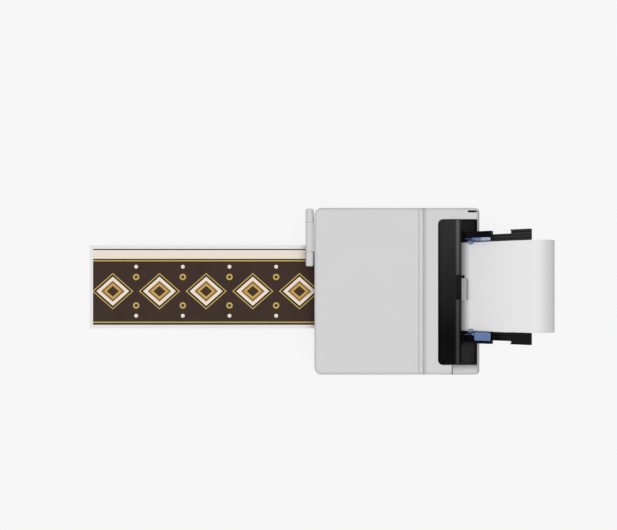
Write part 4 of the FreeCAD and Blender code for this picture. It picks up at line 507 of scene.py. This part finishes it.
# metal: drawn along one way, so its gloss and tone run in streaks
metalSet = {"streaks": (2, 4), "depth": 0.00001}  # noise scale and detail, depth of the bump
metals = {
    "groundSteel": {"colour": (176, 178, 182), "streak": (148, 150, 155), "rough": (0.16, 0.3),
                    "run": (6, 260, 260)},
    "zincPlate": {"colour": (168, 170, 172), "streak": (142, 144, 147), "rough": (0.3, 0.46),
                  "run": (40, 240, 40)},
}


def metal(name, look):
    tree, shader = startMaterial(name)
    streaks = noise(tree, objectPoint(tree, look["run"]), *metalSet["streaks"])
    paint(tree, shader, blendColours(tree, streaks, look["streak"], look["colour"]))
    shader.inputs["Metallic"].default_value = 1
    gloss(tree, shader, streaks, look["rough"])
    bump(tree, shader, streaks, metalSet["depth"])


for metalName, metalLook in metals.items():
    metal(metalName, metalLook)


# rubber: dark, with paper dust in its grain
rubberSet = {
    "colour": (40, 40, 41), "dust": (62, 61, 59), "dusting": (130, 5), "dustShare": (-0.2, 0.7),
    "rough": (0.72, 0.88), "gloss": 300, "grain": 900, "depth": 0.00006,
}


def rubber():
    tree, shader = startMaterial("grippyRubber")
    point = objectPoint(tree)
    dust = spread(tree, noise(tree, point, *rubberSet["dusting"]), *rubberSet["dustShare"])
    paint(tree, shader, blendColours(tree, dust, rubberSet["colour"], rubberSet["dust"]))
    gloss(tree, shader, noise(tree, point, rubberSet["gloss"]), rubberSet["rough"])
    bump(tree, shader, noise(tree, point, rubberSet["grain"]), rubberSet["depth"])


rubber()


# main board: green mask over paler tracks
boardSet = {
    "mask": (22, 84, 50), "track": (40, 112, 70), "pitch": 420, "turn": 90,
    "rough": (0.28, 0.42), "gloss": 200, "depth": 0.00004,
}


def circuitBoard():
    tree, shader = startMaterial("circuitBoard")
    tracks = tree.nodes.new("ShaderNodeTexBrick")
    tracks.inputs["Scale"].default_value = boardSet["pitch"]
    for label, tone in (("Color1", "mask"), ("Color2", "mask"), ("Mortar", "track")):
        tracks.inputs[label].default_value = linear(*boardSet[tone])
    upright = objectPoint(tree, turn=(0, math.radians(boardSet["turn"]), 0))
    tree.links.new(upright, tracks.inputs["Vector"])
    paint(tree, shader, tracks.outputs["Color"])
    gloss(tree, shader, noise(tree, objectPoint(tree), boardSet["gloss"]), boardSet["rough"])
    bump(tree, shader, tracks.outputs["Fac"], boardSet["depth"])


circuitBoard()


# display: dark glass with a plain row of ink level bars on a thin line
windowSet = {
    "glass": (14, 18, 22), "sheen": (26, 36, 44), "sheenScale": 30, "rough": (0.05, 0.12), "gloss": 90,
    "frameLine": (120, 132, 140), "line": (0.06, 0.02), "margin": 0.1, "glow": 0.25,
    "bars": ((150, 154, 160), (0, 150, 200), (206, 40, 120), (240, 206, 40)),
    "levels": (0.8, 0.55, 0.68, 0.9), "barFoot": 0.18, "barHead": 0.72, "barShare": 0.5,
}


def displayGlass():
    tree, shader = startMaterial("displayGlass")
    point = objectPoint(tree)
    across, _, height = axes(tree, point)
    low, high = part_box("display_window")
    wide, tall = high.x - low.x, high.z - low.z
    start, end = low.x + wide * windowSet["margin"], high.x - wide * windowSet["margin"]
    foot = low.z + tall * windowSet["barFoot"]
    sheen = noise(tree, point, windowSet["sheenScale"])
    colour = blendColours(tree, sheen, windowSet["glass"], windowSet["sheen"])
    lineLow, lineHigh = (foot - tall * share for share in windowSet["line"])
    line = both(tree, between(tree, height, lineLow, lineHigh), between(tree, across, start, end))
    colour = blendColours(tree, line, colour, windowSet["frameLine"])
    pitch = wide * (1 - 2 * windowSet["margin"]) / len(windowSet["bars"])
    half = pitch * windowSet["barShare"] / 2
    for index, (bar, level) in enumerate(zip(windowSet["bars"], windowSet["levels"])):
        middle = start + pitch * (index + 0.5)
        head = foot + tall * (windowSet["barHead"] - windowSet["barFoot"]) * level
        inside = both(
            tree, between(tree, across, middle - half, middle + half), between(tree, height, foot, head)
        )
        colour = blendColours(tree, inside, colour, bar)
    paint(tree, shader, colour)
    tree.links.new(colour, shader.inputs["Emission Color"])
    shader.inputs["Emission Strength"].default_value = windowSet["glow"]
    gloss(tree, shader, noise(tree, point, windowSet["gloss"]), windowSet["rough"])


displayGlass()


# banner stock: coated white paper, printed on its upper side as far as the print head
printSet = {
    "white": (230, 229, 229), "shade": (227, 226, 226), "fibre": (700, 5), "rough": (0.55, 0.68),
    "specular": 0.22, "depth": 0.00001, "level": 0.102, "midline": 0.0002, "border": 0.009,
    "field": (66, 52, 45), "fieldShade": (56, 43, 38), "fieldMottle": 25,
    "gold": (196, 166, 84), "cream": (232, 222, 206), "tan": (146, 104, 66),
    # stripes: from, to and tone; rings: share of the lozenge and tone; dots: place, radius and tone
    "stripes": ((0.012, 0.034, "cream"), (0.0375, 0.0405, "gold"), (0.193, 0.196, "gold")),
    "pitch": 0.118, "middle": 0.116, "lozenge": (0.046, 0.052),
    "rings": ((1.0, "gold"), (0.93, "fieldShade"), (0.8, "cream"), (0.58, "tan"), (0.44, "gold"),
              (0.3, "field")),
    "dots": ((0.036, 0.008, "gold"), (0.036, 0.004, "field"), (0.062, 0.0048, "cream")),
    "throat": (0.147, 0.1715), "throatShade": (40, 39, 39), "throatFrom": 0.170,
    "paintedLightRun": (0.185, 0.270), "paintedLightTone": (238, 237, 237),
    "darken": (0.296, 0.326), "curlShade": (212, 211, 211),
}


def lozengeRow(tree, colour, fromSide, fromFront):
    pitch = printSet["pitch"]
    halfWide, halfLong = printSet["lozenge"]
    along = both(tree, fromMiddle(tree, fromFront, pitch), pitch)
    across = mathNode(tree, "ABSOLUTE", mathNode(tree, "SUBTRACT", fromSide, printSet["middle"]))
    wide, long = mathNode(tree, "DIVIDE", across, halfWide), mathNode(tree, "DIVIDE", along, halfLong)
    size = mathNode(tree, "ADD", wide, long)
    for reach, tone in printSet["rings"]:
        colour = blendColours(tree, short(tree, size, reach), colour, printSet[tone])
    beside = mathNode(tree, "SUBTRACT", pitch / 2, along)
    for offset, radius, tone in printSet["dots"]:
        apart = mathNode(tree, "SUBTRACT", across, offset)
        square = mathNode(tree, "ADD", both(tree, apart, apart), both(tree, beside, beside))
        disc = short(tree, mathNode(tree, "SQRT", square), radius)
        colour = blendColours(tree, disc, colour, printSet[tone])
    return colour


# painted shade where the stock enters the feeder's throat and over its curl, and painted light that
# makes it palest between them
def stockColour(tree, fibre, along, height):
    stock = blendColours(tree, fibre, printSet["shade"], printSet["white"])
    # painted light along the slope, then painted shade over the curl
    for reach, tone in (("paintedLightRun", "paintedLightTone"), ("darken", "curlShade")):
        share = spread(tree, along, 0, 1, *printSet[reach])
        stock = blendColours(tree, share, stock, printSet[tone])
    # painted shade where the stock enters the throat
    raised = beyond(tree, height, printSet["throatFrom"])
    throat = both(tree, spread(tree, along, 1, 0, *printSet["throat"]), raised)
    return blendColours(tree, throat, stock, printSet["throatShade"])


def bannerStock():
    tree, shader = startMaterial("bannerStock")
    low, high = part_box("banner_sheet")
    point = objectPoint(tree)
    fibre = noise(tree, point, *printSet["fibre"])
    across, along, height = axes(tree, point)
    fromSide = mathNode(tree, "SUBTRACT", across, low.x)
    fromFront = mathNode(tree, "SUBTRACT", along, low.y)
    edge = printSet["border"]
    printed = both(
        tree, between(tree, fromSide, edge, high.x - low.x - edge),
        between(tree, along, low.y + edge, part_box("print_head")[0].y),
    )
    printed = both(tree, printed, beyond(tree, height, printSet["level"] + printSet["midline"]))
    mottle = noise(tree, point, printSet["fieldMottle"])
    ink = blendColours(tree, mottle, printSet["fieldShade"], printSet["field"])
    ink = lozengeRow(tree, ink, fromSide, fromFront)
    for start, end, tone in printSet["stripes"]:
        ink = blendColours(tree, between(tree, fromSide, start, end), ink, printSet[tone])
    stock = stockColour(tree, fibre, along, height)
    paint(tree, shader, blendColours(tree, printed, stock, ink))
    gloss(tree, shader, fibre, printSet["rough"])
    shader.inputs["Specular IOR Level"].default_value = printSet["specular"]
    bump(tree, shader, fibre, printSet["depth"])


bannerStock()
print("materials:", len(materials), "in all")


# which finish each CAD node has
finishes = {
    "lidGrey": ("top_cover", "rear_deck", "rear_corner_cover"),
    "caseGrey": ("front_cover", "left_side_cover", "right_side_cover", "rear_panel", "control_panel",
                 "ink_door", "cassette_tray"),
    "guardBlack": ("feeder_guard",),
    "wellBlack": ("feeder_well",),
    "trayBlack": ("bypass_tray",),
    "streakedBlack": ("tray_extension",),
    "guideTwoTone": ("left_guide", "right_guide"),
    "innerBlack": ("cartridge_bay", "output_tray", "output_extension", "carriage", "platen",
                   "paper_chute", "power_inlet", "interface_ports", "base_pan"),
    "tabGrey": ("guard_tab",),
    "leverBlue": ("left_lever", "right_lever"),
    "buttonGrey": ("power_button", "cancel_button", "up_button", "down_button"),
    "gearIvory": ("feed_gear", "idler_gear", "exit_gear", "motor_pinion", "guide_pinion",
                  "drive_pulley", "idler_pulley"),
    "inkBanded": ("ink_cartridges",),
    "groundSteel": ("carriage_rod", "hinge_pins", "screws", "star_wheels", "print_head"),
    "zincPlate": ("left_frame", "right_frame", "carriage_rail", "carriage_motor", "feed_motor",
                  "power_supply"),
    "grippyRubber": ("rubber_feet", "carriage_belt", "feed_roller", "exit_roller", "pinch_rollers",
                     "pickup_roller"),
    "circuitBoard": ("main_board",),
    "displayGlass": ("display_window",),
    "bannerStock": ("banner_sheet",),
}
bare = set(nodes)
for finish, members in finishes.items():
    for member in members:
        nodes[member].data.materials.clear()
        nodes[member].data.materials.append(materials[finish])
        bare.discard(member)
print("finishes: given to all nodes" if not bare else "finishes: missing on %s" % sorted(bare))


# making, cleaning and placing meshes
cleanSet = {"weld": 1e-6, "merge": 5e-6, "snap": 4e-5}  # how near two points become one


def opened(mesh):
    work = bmesh.new()
    work.from_mesh(mesh)
    return work


def closed(work, mesh):
    work.to_mesh(mesh)
    work.free()
    return mesh


def newMesh(work, name, finish):
    mesh = closed(work, bpy.data.meshes.new(name))
    mesh.materials.append(materials[finish])
    return mesh


def clean(work):
    bmesh.ops.triangulate(work, faces=work.faces)
    bmesh.ops.remove_doubles(work, verts=work.verts, dist=cleanSet["merge"])
    bmesh.ops.dissolve_degenerate(work, edges=work.edges, dist=cleanSet["merge"])


def smoothed(mesh, sharpFrom):
    mesh.shade_smooth()
    mesh.set_sharp_from_angle(angle=math.radians(sharpFrom))
    return mesh


def applied(thing, name):
    collection.objects.link(thing)
    bpy.context.view_layer.update()
    graph = bpy.context.evaluated_depsgraph_get()
    mesh = bpy.data.meshes.new_from_object(thing.evaluated_get(graph), depsgraph=graph)
    mesh.name = name
    bpy.data.objects.remove(thing)
    return mesh


def settle(name, mesh, body, standsFor=()):
    piece = bpy.data.objects.new(name, mesh)
    collection.objects.link(piece)
    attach(piece, body)
    if standsFor:
        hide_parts(*standsFor)
    return piece


# takes the place of one CAD node, on its body and with its material slot
def standIn(node, name, mesh):
    settle(name, mesh, nodes[node]["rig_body"], (node,))


# covers and mouldings with their sharp edges eased, by the radius of each edge
easeSet = {"segments": 2, "flatTo": 1, "easeFrom": 40, "sharpFrom": 32}  # angles in degrees
softEdges = {
    "left_lever": 0.0006, "right_lever": 0.0006, "guard_tab": 0.0004, "bypass_tray": 0.0006,
    "tray_extension": 0.0006, "control_panel": 0.0006, "cassette_tray": 0.0006, "output_tray": 0.0005,
    "output_extension": 0.0006, "ink_door": 0.0004, "feeder_guard": 0.0005, "left_guide": 0.0003,
    "right_guide": 0.0003,
}


def easedMesh(mesh, name, radius):
    rough = bpy.data.objects.new(name + "_rough", mesh)
    bevel = rough.modifiers.new("easedEdge", "BEVEL")
    bevel.width = radius
    bevel.segments = easeSet["segments"]
    bevel.limit_method = "ANGLE"
    bevel.angle_limit = math.radians(easeSet["easeFrom"])
    return applied(rough, name)


def softCopy(node, radius):
    name = node + "_eased"
    mesh = nodes[node].data.copy()
    work = opened(mesh)
    bmesh.ops.remove_doubles(work, verts=work.verts, dist=cleanSet["snap"])
    flatTo = math.radians(easeSet["flatTo"])
    bmesh.ops.dissolve_limit(work, angle_limit=flatTo, verts=work.verts, edges=work.edges)
    eased = easedMesh(closed(work, mesh), name, radius)
    work = opened(eased)
    clean(work)
    standIn(node, name, smoothed(closed(work, eased), easeSet["sharpFrom"]))


for softName, softRadius in softEdges.items():
    softCopy(softName, softRadius)
print("eased edges:", len(softEdges), "mouldings")


# top covers, falling away softly towards the front and sides of the case, and the corner cover
# towards the well too; where two runs meet, the fall has a limit
crownSet = {"reach": 0.0125, "drop": 0.0050, "most": 1.25, "cuts": 7, "sharpFrom": 28}


# each run: the axis that it falls along, the place of its edge, and the way out
def crownRuns(node, low, high):
    runs = [(0, low.x, -1), (0, high.x, 1), (1, low.y, -1)]
    if node == "rear_corner_cover":
        runs.append((0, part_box(node)[0].x, -1))
    return runs


def crownDrop(point, runs, foot, top):
    overs = [crownSet["reach"] - (edge - point[axis]) * way for axis, edge, way in runs]
    square = sum(max(over, 0.0) ** 2 for over in overs) / crownSet["reach"] ** 2
    lift = max(0.0, (point.z - foot) / (top - foot))
    return crownSet["drop"] * min(square, crownSet["most"]) * lift


def crownedCopy(node, low, high):
    mesh = nodes[node].data.copy()
    runs = crownRuns(node, low, high)
    work = opened(mesh)
    bmesh.ops.remove_doubles(work, verts=work.verts, dist=cleanSet["weld"])
    for index in range(crownSet["cuts"]):
        inset = crownSet["reach"] * (index + 1) / crownSet["cuts"]
        for axis, edge, way in runs:
            spot, facing = Vector(), Vector()
            spot[axis], facing[axis] = edge - inset * way, 1
            bmesh.ops.bisect_plane(
                work, geom=work.verts[:] + work.edges[:] + work.faces[:], dist=cleanSet["snap"],
                plane_co=spot, plane_no=facing,
            )
    clean(work)
    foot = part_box(node)[0].z
    for corner in work.verts:
        corner.co.z -= crownDrop(corner.co, runs, foot, high.z)
    standIn(node, node + "_crowned", smoothed(closed(work, mesh), crownSet["sharpFrom"]))


lidLow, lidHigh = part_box("top_cover")
for coverName in finishes["lidGrey"]:
    crownedCopy(coverName, lidLow, lidHigh)
print("crowned covers:", len(finishes["lidGrey"]))


# banner: one sheet from the tray behind, through the machine and out over the tray in front, as
# a level run, a bend, a slope, a curl and a hanging end
bannerSet = {
    "bend": 0.120, "slopeRun": 0.32666, "curl": 0.037, "turnBack": 124.6, "hang": 0.080, "step": 0.006,
    "columns": 12, "thick": 0.0003, "sharpFrom": 50,
    "rests": ["bypass_tray", "tray_extension", "platen", "output_extension"],
}


# where the sheet starts, and the length and turn of each leg
def bannerLine():
    low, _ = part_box("banner_sheet")
    bend, level = bannerSet["bend"], printSet["level"]
    curlEnd = math.radians(bannerSet["turnBack"])
    # the level run ends where the bend meets both the bed and the slope
    bendRise = bend * (1 - math.cos(slope))
    slopeStart = footY - (footZ - level - bendRise) / math.tan(slope)
    levelRun = slopeStart - bend * math.sin(slope) - low.y
    return Vector((low.y, level)), (
        (levelRun, 0), (bend * slope, slope), (bannerSet["slopeRun"], 0),
        (bannerSet["curl"] * curlEnd, -curlEnd), (bannerSet["hang"], 0),
    )


def bannerStations():
    place, legs = bannerLine()
    heading = 0.0
    stations = [(place.copy(), heading)]
    for length, turn in legs:
        count = max(2, round(length / bannerSet["step"]))
        part = turn / count
        chord = length / count
        if part:
            chord *= math.sin(abs(part) / 2) / (abs(part) / 2)
        for _ in range(count):
            middle = heading + part / 2
            place = place + Vector((math.cos(middle), math.sin(middle))) * chord
            heading += part
            stations.append((place.copy(), heading))
    return stations


def addBanner():
    low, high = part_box("banner_sheet")
    wide = high.x - low.x
    columns = bannerSet["columns"]
    work = bmesh.new()
    rows = []
    for place, heading in bannerStations():
        middle = place + Vector((-math.sin(heading), math.cos(heading))) * printSet["midline"]
        rows.append([
            work.verts.new((low.x + wide * index / columns, middle.x, middle.y))
            for index in range(columns + 1)
        ])
    for near, far in zip(rows, rows[1:]):
        for index in range(columns):
            work.faces.new((near[index], near[index + 1], far[index + 1], far[index]))
    flat = bpy.data.objects.new("banner_flat", newMesh(work, "banner_flat", "bannerStock"))
    thicken = flat.modifiers.new("stock", "SOLIDIFY")
    thicken.thickness = bannerSet["thick"]
    thicken.offset = 0
    sheet = smoothed(applied(flat, "banner_paper"), bannerSet["sharpFrom"])
    piece = settle("banner_paper", sheet, "root", ("banner_sheet",))


addBanner()


# geometry node trees for what repeats
def startTree(name, inputs):
    tree = bpy.data.node_groups.new(name, "GeometryNodeTree")
    tree.is_modifier = True
    for label, kind in inputs:
        tree.interface.new_socket(label, in_out="INPUT", socket_type="NodeSocket" + kind)
    tree.interface.new_socket("Geometry", in_out="OUTPUT", socket_type="NodeSocketGeometry")
    given = tree.nodes.new("NodeGroupInput").outputs
    result = tree.nodes.new("NodeGroupOutput").inputs["Geometry"]
    return tree, given, result


def addNode(tree, kind, links=(), **values):
    node = tree.nodes.new(kind)
    for label, value in values.items():
        setattr(node, label, value)
    for label, source in links:
        if hasattr(source, "is_output"):
            tree.links.new(source, node.inputs[label])
        else:
            node.inputs[label].default_value = source
    return node


def vector(tree, *parts):
    return addNode(tree, "ShaderNodeCombineXYZ", zip(("X", "Y", "Z"), parts)).outputs["Vector"]


def times(tree, value, share):
    node = addNode(tree, "ShaderNodeMath", ((0, value), (1, share)), operation="MULTIPLY")
    return node.outputs["Value"]


def finishTree(tree, given, result, geometry):
    real = addNode(tree, "GeometryNodeRealizeInstances", (("Geometry", geometry),))
    dressed = addNode(tree, "GeometryNodeSetMaterial", (
        ("Geometry", real.outputs["Geometry"]), ("Material", given["Material"]),
    ))
    tree.links.new(dressed.outputs["Geometry"], result)
    return tree


def grow(name, tree, values, body, standsFor=()):
    carrier = bpy.data.objects.new(name + "_carrier", bpy.data.meshes.new(name + "_carrier"))
    modifier = carrier.modifiers.new("grow", "NODES")
    modifier.node_group = tree
    for item in tree.interface.items_tree:
        if item.in_out == "INPUT":
            modifier[item.identifier] = values[item.name]
    settle(name, applied(carrier, name), body, standsFor)


# thumb ridges: half-sunk round bars across the upper face of each lever's pad
sides = ("left", "right")
ridgeSet = {
    "count": 5, "pitch": 0.0032, "width": 0.0014, "height": 0.0004, "startUp": 0.061, "off": 0.0184,
    "facets": 16, "left": (-0.1236, -0.1187), "right": (0.0975, 0.1125),
}


def ridgeTree():
    tree, given, result = startTree("thumbRidges", (
        ("Count", "Int"), ("Pitch", "Float"), ("Length", "Float"), ("Width", "Float"),
        ("Height", "Float"), ("Tilt", "Float"), ("Place", "Vector"), ("Material", "Material"),
    ))
    row = addNode(tree, "GeometryNodeMeshLine", (
        ("Count", given["Count"]), ("Offset", vector(tree, 0, given["Pitch"], 0)),
    ))
    # a bar one unit long and thick, laid across and scaled to size
    bar = addNode(tree, "GeometryNodeMeshCylinder", (
        ("Vertices", ridgeSet["facets"]), ("Radius", 0.5), ("Depth", 1.0),
    ))
    laid = addNode(tree, "GeometryNodeTransform", (
        ("Geometry", bar.outputs["Mesh"]), ("Rotation", (0, math.radians(90), 0)),
        ("Scale", vector(tree, times(tree, given["Height"], 2), given["Width"], given["Length"])),
    ))
    copies = addNode(tree, "GeometryNodeInstanceOnPoints", (
        ("Points", row.outputs["Mesh"]), ("Instance", laid.outputs["Geometry"]),
    ))
    placed = addNode(tree, "GeometryNodeTransform", (
        ("Geometry", copies.outputs["Instances"]), ("Translation", given["Place"]),
        ("Rotation", vector(tree, given["Tilt"], 0, 0)),
    ))
    return finishTree(tree, given, result, placed.outputs["Geometry"])


def addRidges(tree, side):
    start, end = ridgeSet[side]
    grow(side + "_thumb_ridges", tree, {
        "Count": ridgeSet["count"], "Pitch": ridgeSet["pitch"], "Length": end - start,
        "Width": ridgeSet["width"], "Height": ridgeSet["height"], "Tilt": slope,
        "Place": onSlope((start + end) / 2, ridgeSet["startUp"], ridgeSet["off"]),
        "Material": materials["leverBlue"],
    }, "lever_" + side)


ridges = ridgeTree()
for side in sides:
    addRidges(ridges, side)
print("thumb ridges: on both levers")


# spring fingers: a thin tapering blade below each lever, over the guide's foot
fingerSet = {
    "up": (0.010, 0.033), "off": (0.0062, 0.0078), "root": 0.0016, "tip": 0.0009, "steps": 10,
    "edge": 0.0002, "left": (-0.1228, -0.1246), "right": (0.1008, 0.1026),
}


def addFinger(side):
    name = side + "_lever_finger"
    startUp, endUp = fingerSet["up"]
    under, over = fingerSet["off"]
    rootX, tipX = fingerSet[side]
    steps = fingerSet["steps"]
    work = bmesh.new()
    rings = []
    for index in range(steps + 1):
        share = index / steps
        up = endUp + (startUp - endUp) * share
        middle = rootX + (tipX - rootX) * share * share
        half = (fingerSet["root"] + (fingerSet["tip"] - fingerSet["root"]) * share) / 2
        rings.append([
            work.verts.new(onSlope(middle + across * half, up, off))
            for across, off in ((-1, under), (1, under), (1, over), (-1, over))
        ])
    for first, second in zip(rings, rings[1:]):
        for corner in range(4):
            follow = (corner + 1) % 4
            work.faces.new((first[corner], first[follow], second[follow], second[corner]))
    work.faces.new(rings[0])
    work.faces.new(rings[-1])
    bmesh.ops.recalc_face_normals(work, faces=work.faces)
    blade = newMesh(work, name + "_rough", "leverBlue")
    settle(name, easedMesh(blade, name, fingerSet["edge"]), "lever_" + side)


for side in sides:
    addFinger(side)
print("spring fingers: on both levers")


# cross-head screws: four pan heads on the rear panel
screwSet = {
    "radius": 0.003, "top": 0.78, "facets": 40, "slot": (0.0042, 0.0009), "slotDepth": 0.6,
}


def screwTree():
    tree, given, result = startTree("crossScrews", (
        ("Across", "Float"), ("Tall", "Float"), ("Radius", "Float"), ("Head", "Float"),
        ("Slot Length", "Float"), ("Slot Width", "Float"), ("Slot Depth", "Float"),
        ("Place", "Vector"), ("Material", "Material"),
    ))
    corners = addNode(tree, "GeometryNodeMeshGrid", (
        ("Size X", given["Across"]), ("Size Y", given["Tall"]), ("Vertices X", 2), ("Vertices Y", 2),
    ))
    head = addNode(tree, "GeometryNodeMeshCone", (
        ("Vertices", screwSet["facets"]), ("Radius Bottom", given["Radius"]),
        ("Radius Top", times(tree, given["Radius"], screwSet["top"])), ("Depth", given["Head"]),
    ))
    # two crossed bars, half of whose height sinks into the head
    cross = addNode(tree, "GeometryNodeMeshBoolean", operation="UNION", solver="EXACT")
    for wide, tall in (("Slot Length", "Slot Width"), ("Slot Width", "Slot Length")):
        size = vector(tree, given[wide], given[tall], times(tree, given["Slot Depth"], 2))
        bar = addNode(tree, "GeometryNodeMeshCube", (("Size", size),))
        tree.links.new(bar.outputs["Mesh"], cross.inputs["Mesh 2"])
    raised = addNode(tree, "GeometryNodeTransform", (
        ("Geometry", cross.outputs["Mesh"]), ("Translation", vector(tree, 0, 0, given["Head"])),
    ))
    cutHead = addNode(tree, "GeometryNodeMeshBoolean", (
        ("Mesh 1", head.outputs["Mesh"]), ("Mesh 2", raised.outputs["Geometry"]),
    ), operation="DIFFERENCE", solver="EXACT")
    copies = addNode(tree, "GeometryNodeInstanceOnPoints", (
        ("Points", corners.outputs["Mesh"]), ("Instance", cutHead.outputs["Mesh"]),
    ))
    placed = addNode(tree, "GeometryNodeTransform", (
        ("Geometry", copies.outputs["Instances"]), ("Translation", given["Place"]),
        ("Rotation", (math.radians(-90), 0, 0)),
    ))
    return finishTree(tree, given, result, placed.outputs["Geometry"])


def addScrews():
    low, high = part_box("screws")
    middle = (low + high) / 2
    radius, head = screwSet["radius"], high.y - low.y
    slotLength, slotWidth = screwSet["slot"]
    grow("rear_screws", screwTree(), {
        "Across": high.x - low.x - radius * 2, "Tall": high.z - low.z - radius * 2, "Radius": radius,
        "Head": head, "Slot Length": slotLength, "Slot Width": slotWidth,
        "Slot Depth": head * screwSet["slotDepth"], "Place": Vector((middle.x, low.y, middle.z)),
        "Material": materials["groundSteel"],
    }, "root", ("screws",))


addScrews()
print("screws: cross heads cut")


# button marks: a power ring and bar, a cross and two arrows, printed on the button faces
markSet = {
    "thick": 0.00012, "sink": 0.00003, "line": 0.00055, "reach": 0.0022,
    "gapAt": 90, "gap": 40, "steps": 24, "barAt": 0.72, "crossTurn": 45, "arrow": (0.7, 0.9),
}


# a ring that is open at its top
def ringOutline(reach, line):
    steps = markSet["steps"]
    start = markSet["gapAt"] + markSet["gap"]
    end = markSet["gapAt"] + 360 - markSet["gap"]
    angles = [math.radians(start + (end - start) * index / steps) for index in range(steps + 1)]
    outer, inner = (
        [(radius * math.cos(angle), radius * math.sin(angle)) for angle in angles]
        for radius in (reach, reach - line)
    )
    return outer + inner[::-1]


def crossOutline(reach, line):
    corners = []
    for quarter in range(4):
        turn = math.radians(markSet["crossTurn"] + 90 * quarter)
        for out, aside in ((line / 2, -line / 2), (reach, -line / 2), (reach, line / 2)):
            corners.append((
                out * math.cos(turn) - aside * math.sin(turn),
                out * math.sin(turn) + aside * math.cos(turn),
            ))
    return corners


def markOutlines():
    reach, line = markSet["reach"], markSet["line"]
    foot, tip = (reach * share for share in markSet["arrow"])
    arrow = [(-reach, -foot), (reach, -foot), (0.0, tip)]
    corners = ((-1, -1), (1, -1), (1, 1), (-1, 1))
    bar = [(x * line / 2, reach * markSet["barAt"] + z * reach / 2) for x, z in corners]
    return {
        "power": [bar, ringOutline(reach, line)],
        "cancel": [crossOutline(reach, line)],
        "up": [arrow],
        "down": [[(-x, -z) for x, z in arrow]],
    }


def addMark(name, outlines):
    low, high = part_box(name + "_button")
    middleX, middleZ = (low.x + high.x) / 2, (low.z + high.z) / 2
    front, back = low.y - markSet["thick"], low.y + markSet["sink"]
    work = bmesh.new()
    for outline in outlines:
        near, deep = (
            [work.verts.new((middleX + x, place, middleZ + z)) for x, z in outline]
            for place in (front, back)
        )
        work.faces.new(near)
        work.faces.new(deep[::-1])
        for index in range(len(outline)):
            follow = (index + 1) % len(outline)
            work.faces.new((near[index], deep[index], deep[follow], near[follow]))
    bmesh.ops.recalc_face_normals(work, faces=work.faces)
    mark = newMesh(work, name + "_mark", "markWhite")
    settle(name + "_mark", mark, "button_" + name)


for markName, markShape in markOutlines().items():
    addMark(markName, markShape)
print("button marks: printed")


# floor: a pale sheet lit from within, so that shadows on it stay faint
floorSet = {
    "size": 12.0, "colour": (92, 92, 92), "shade": (88, 88, 88), "mottle": 3, "glow": 0.825,
    "bounce": 0.38, "rough": 0.9, "specular": 0.1,
}


def paleFloor():
    tree, shader = startMaterial("paleFloor")
    mottle = noise(tree, objectPoint(tree), floorSet["mottle"])
    paint(tree, shader, blendColours(tree, mottle, floorSet["shade"], floorSet["colour"]))
    shader.inputs["Emission Color"].default_value = (1, 1, 1, 1)
    path = tree.nodes.new("ShaderNodeLightPath")
    glow = spread(tree, path.outputs["Is Camera Ray"], floorSet["bounce"], floorSet["glow"])
    tree.links.new(glow, shader.inputs["Emission Strength"])
    shader.inputs["Roughness"].default_value = floorSet["rough"]
    shader.inputs["Specular IOR Level"].default_value = floorSet["specular"]


def addFloor():
    half = floorSet["size"] / 2
    corners = [(-half, -half, 0), (half, -half, 0), (half, half, 0), (-half, half, 0)]
    mesh = bpy.data.meshes.new("floor")
    mesh.from_pydata(corners, [], [(0, 1, 2, 3)])
    mesh.materials.append(materials["paleFloor"])
    floor = bpy.data.objects.new("floor", mesh)
    collection.objects.link(floor)


paleFloor()
addFloor()
print("floor: laid")
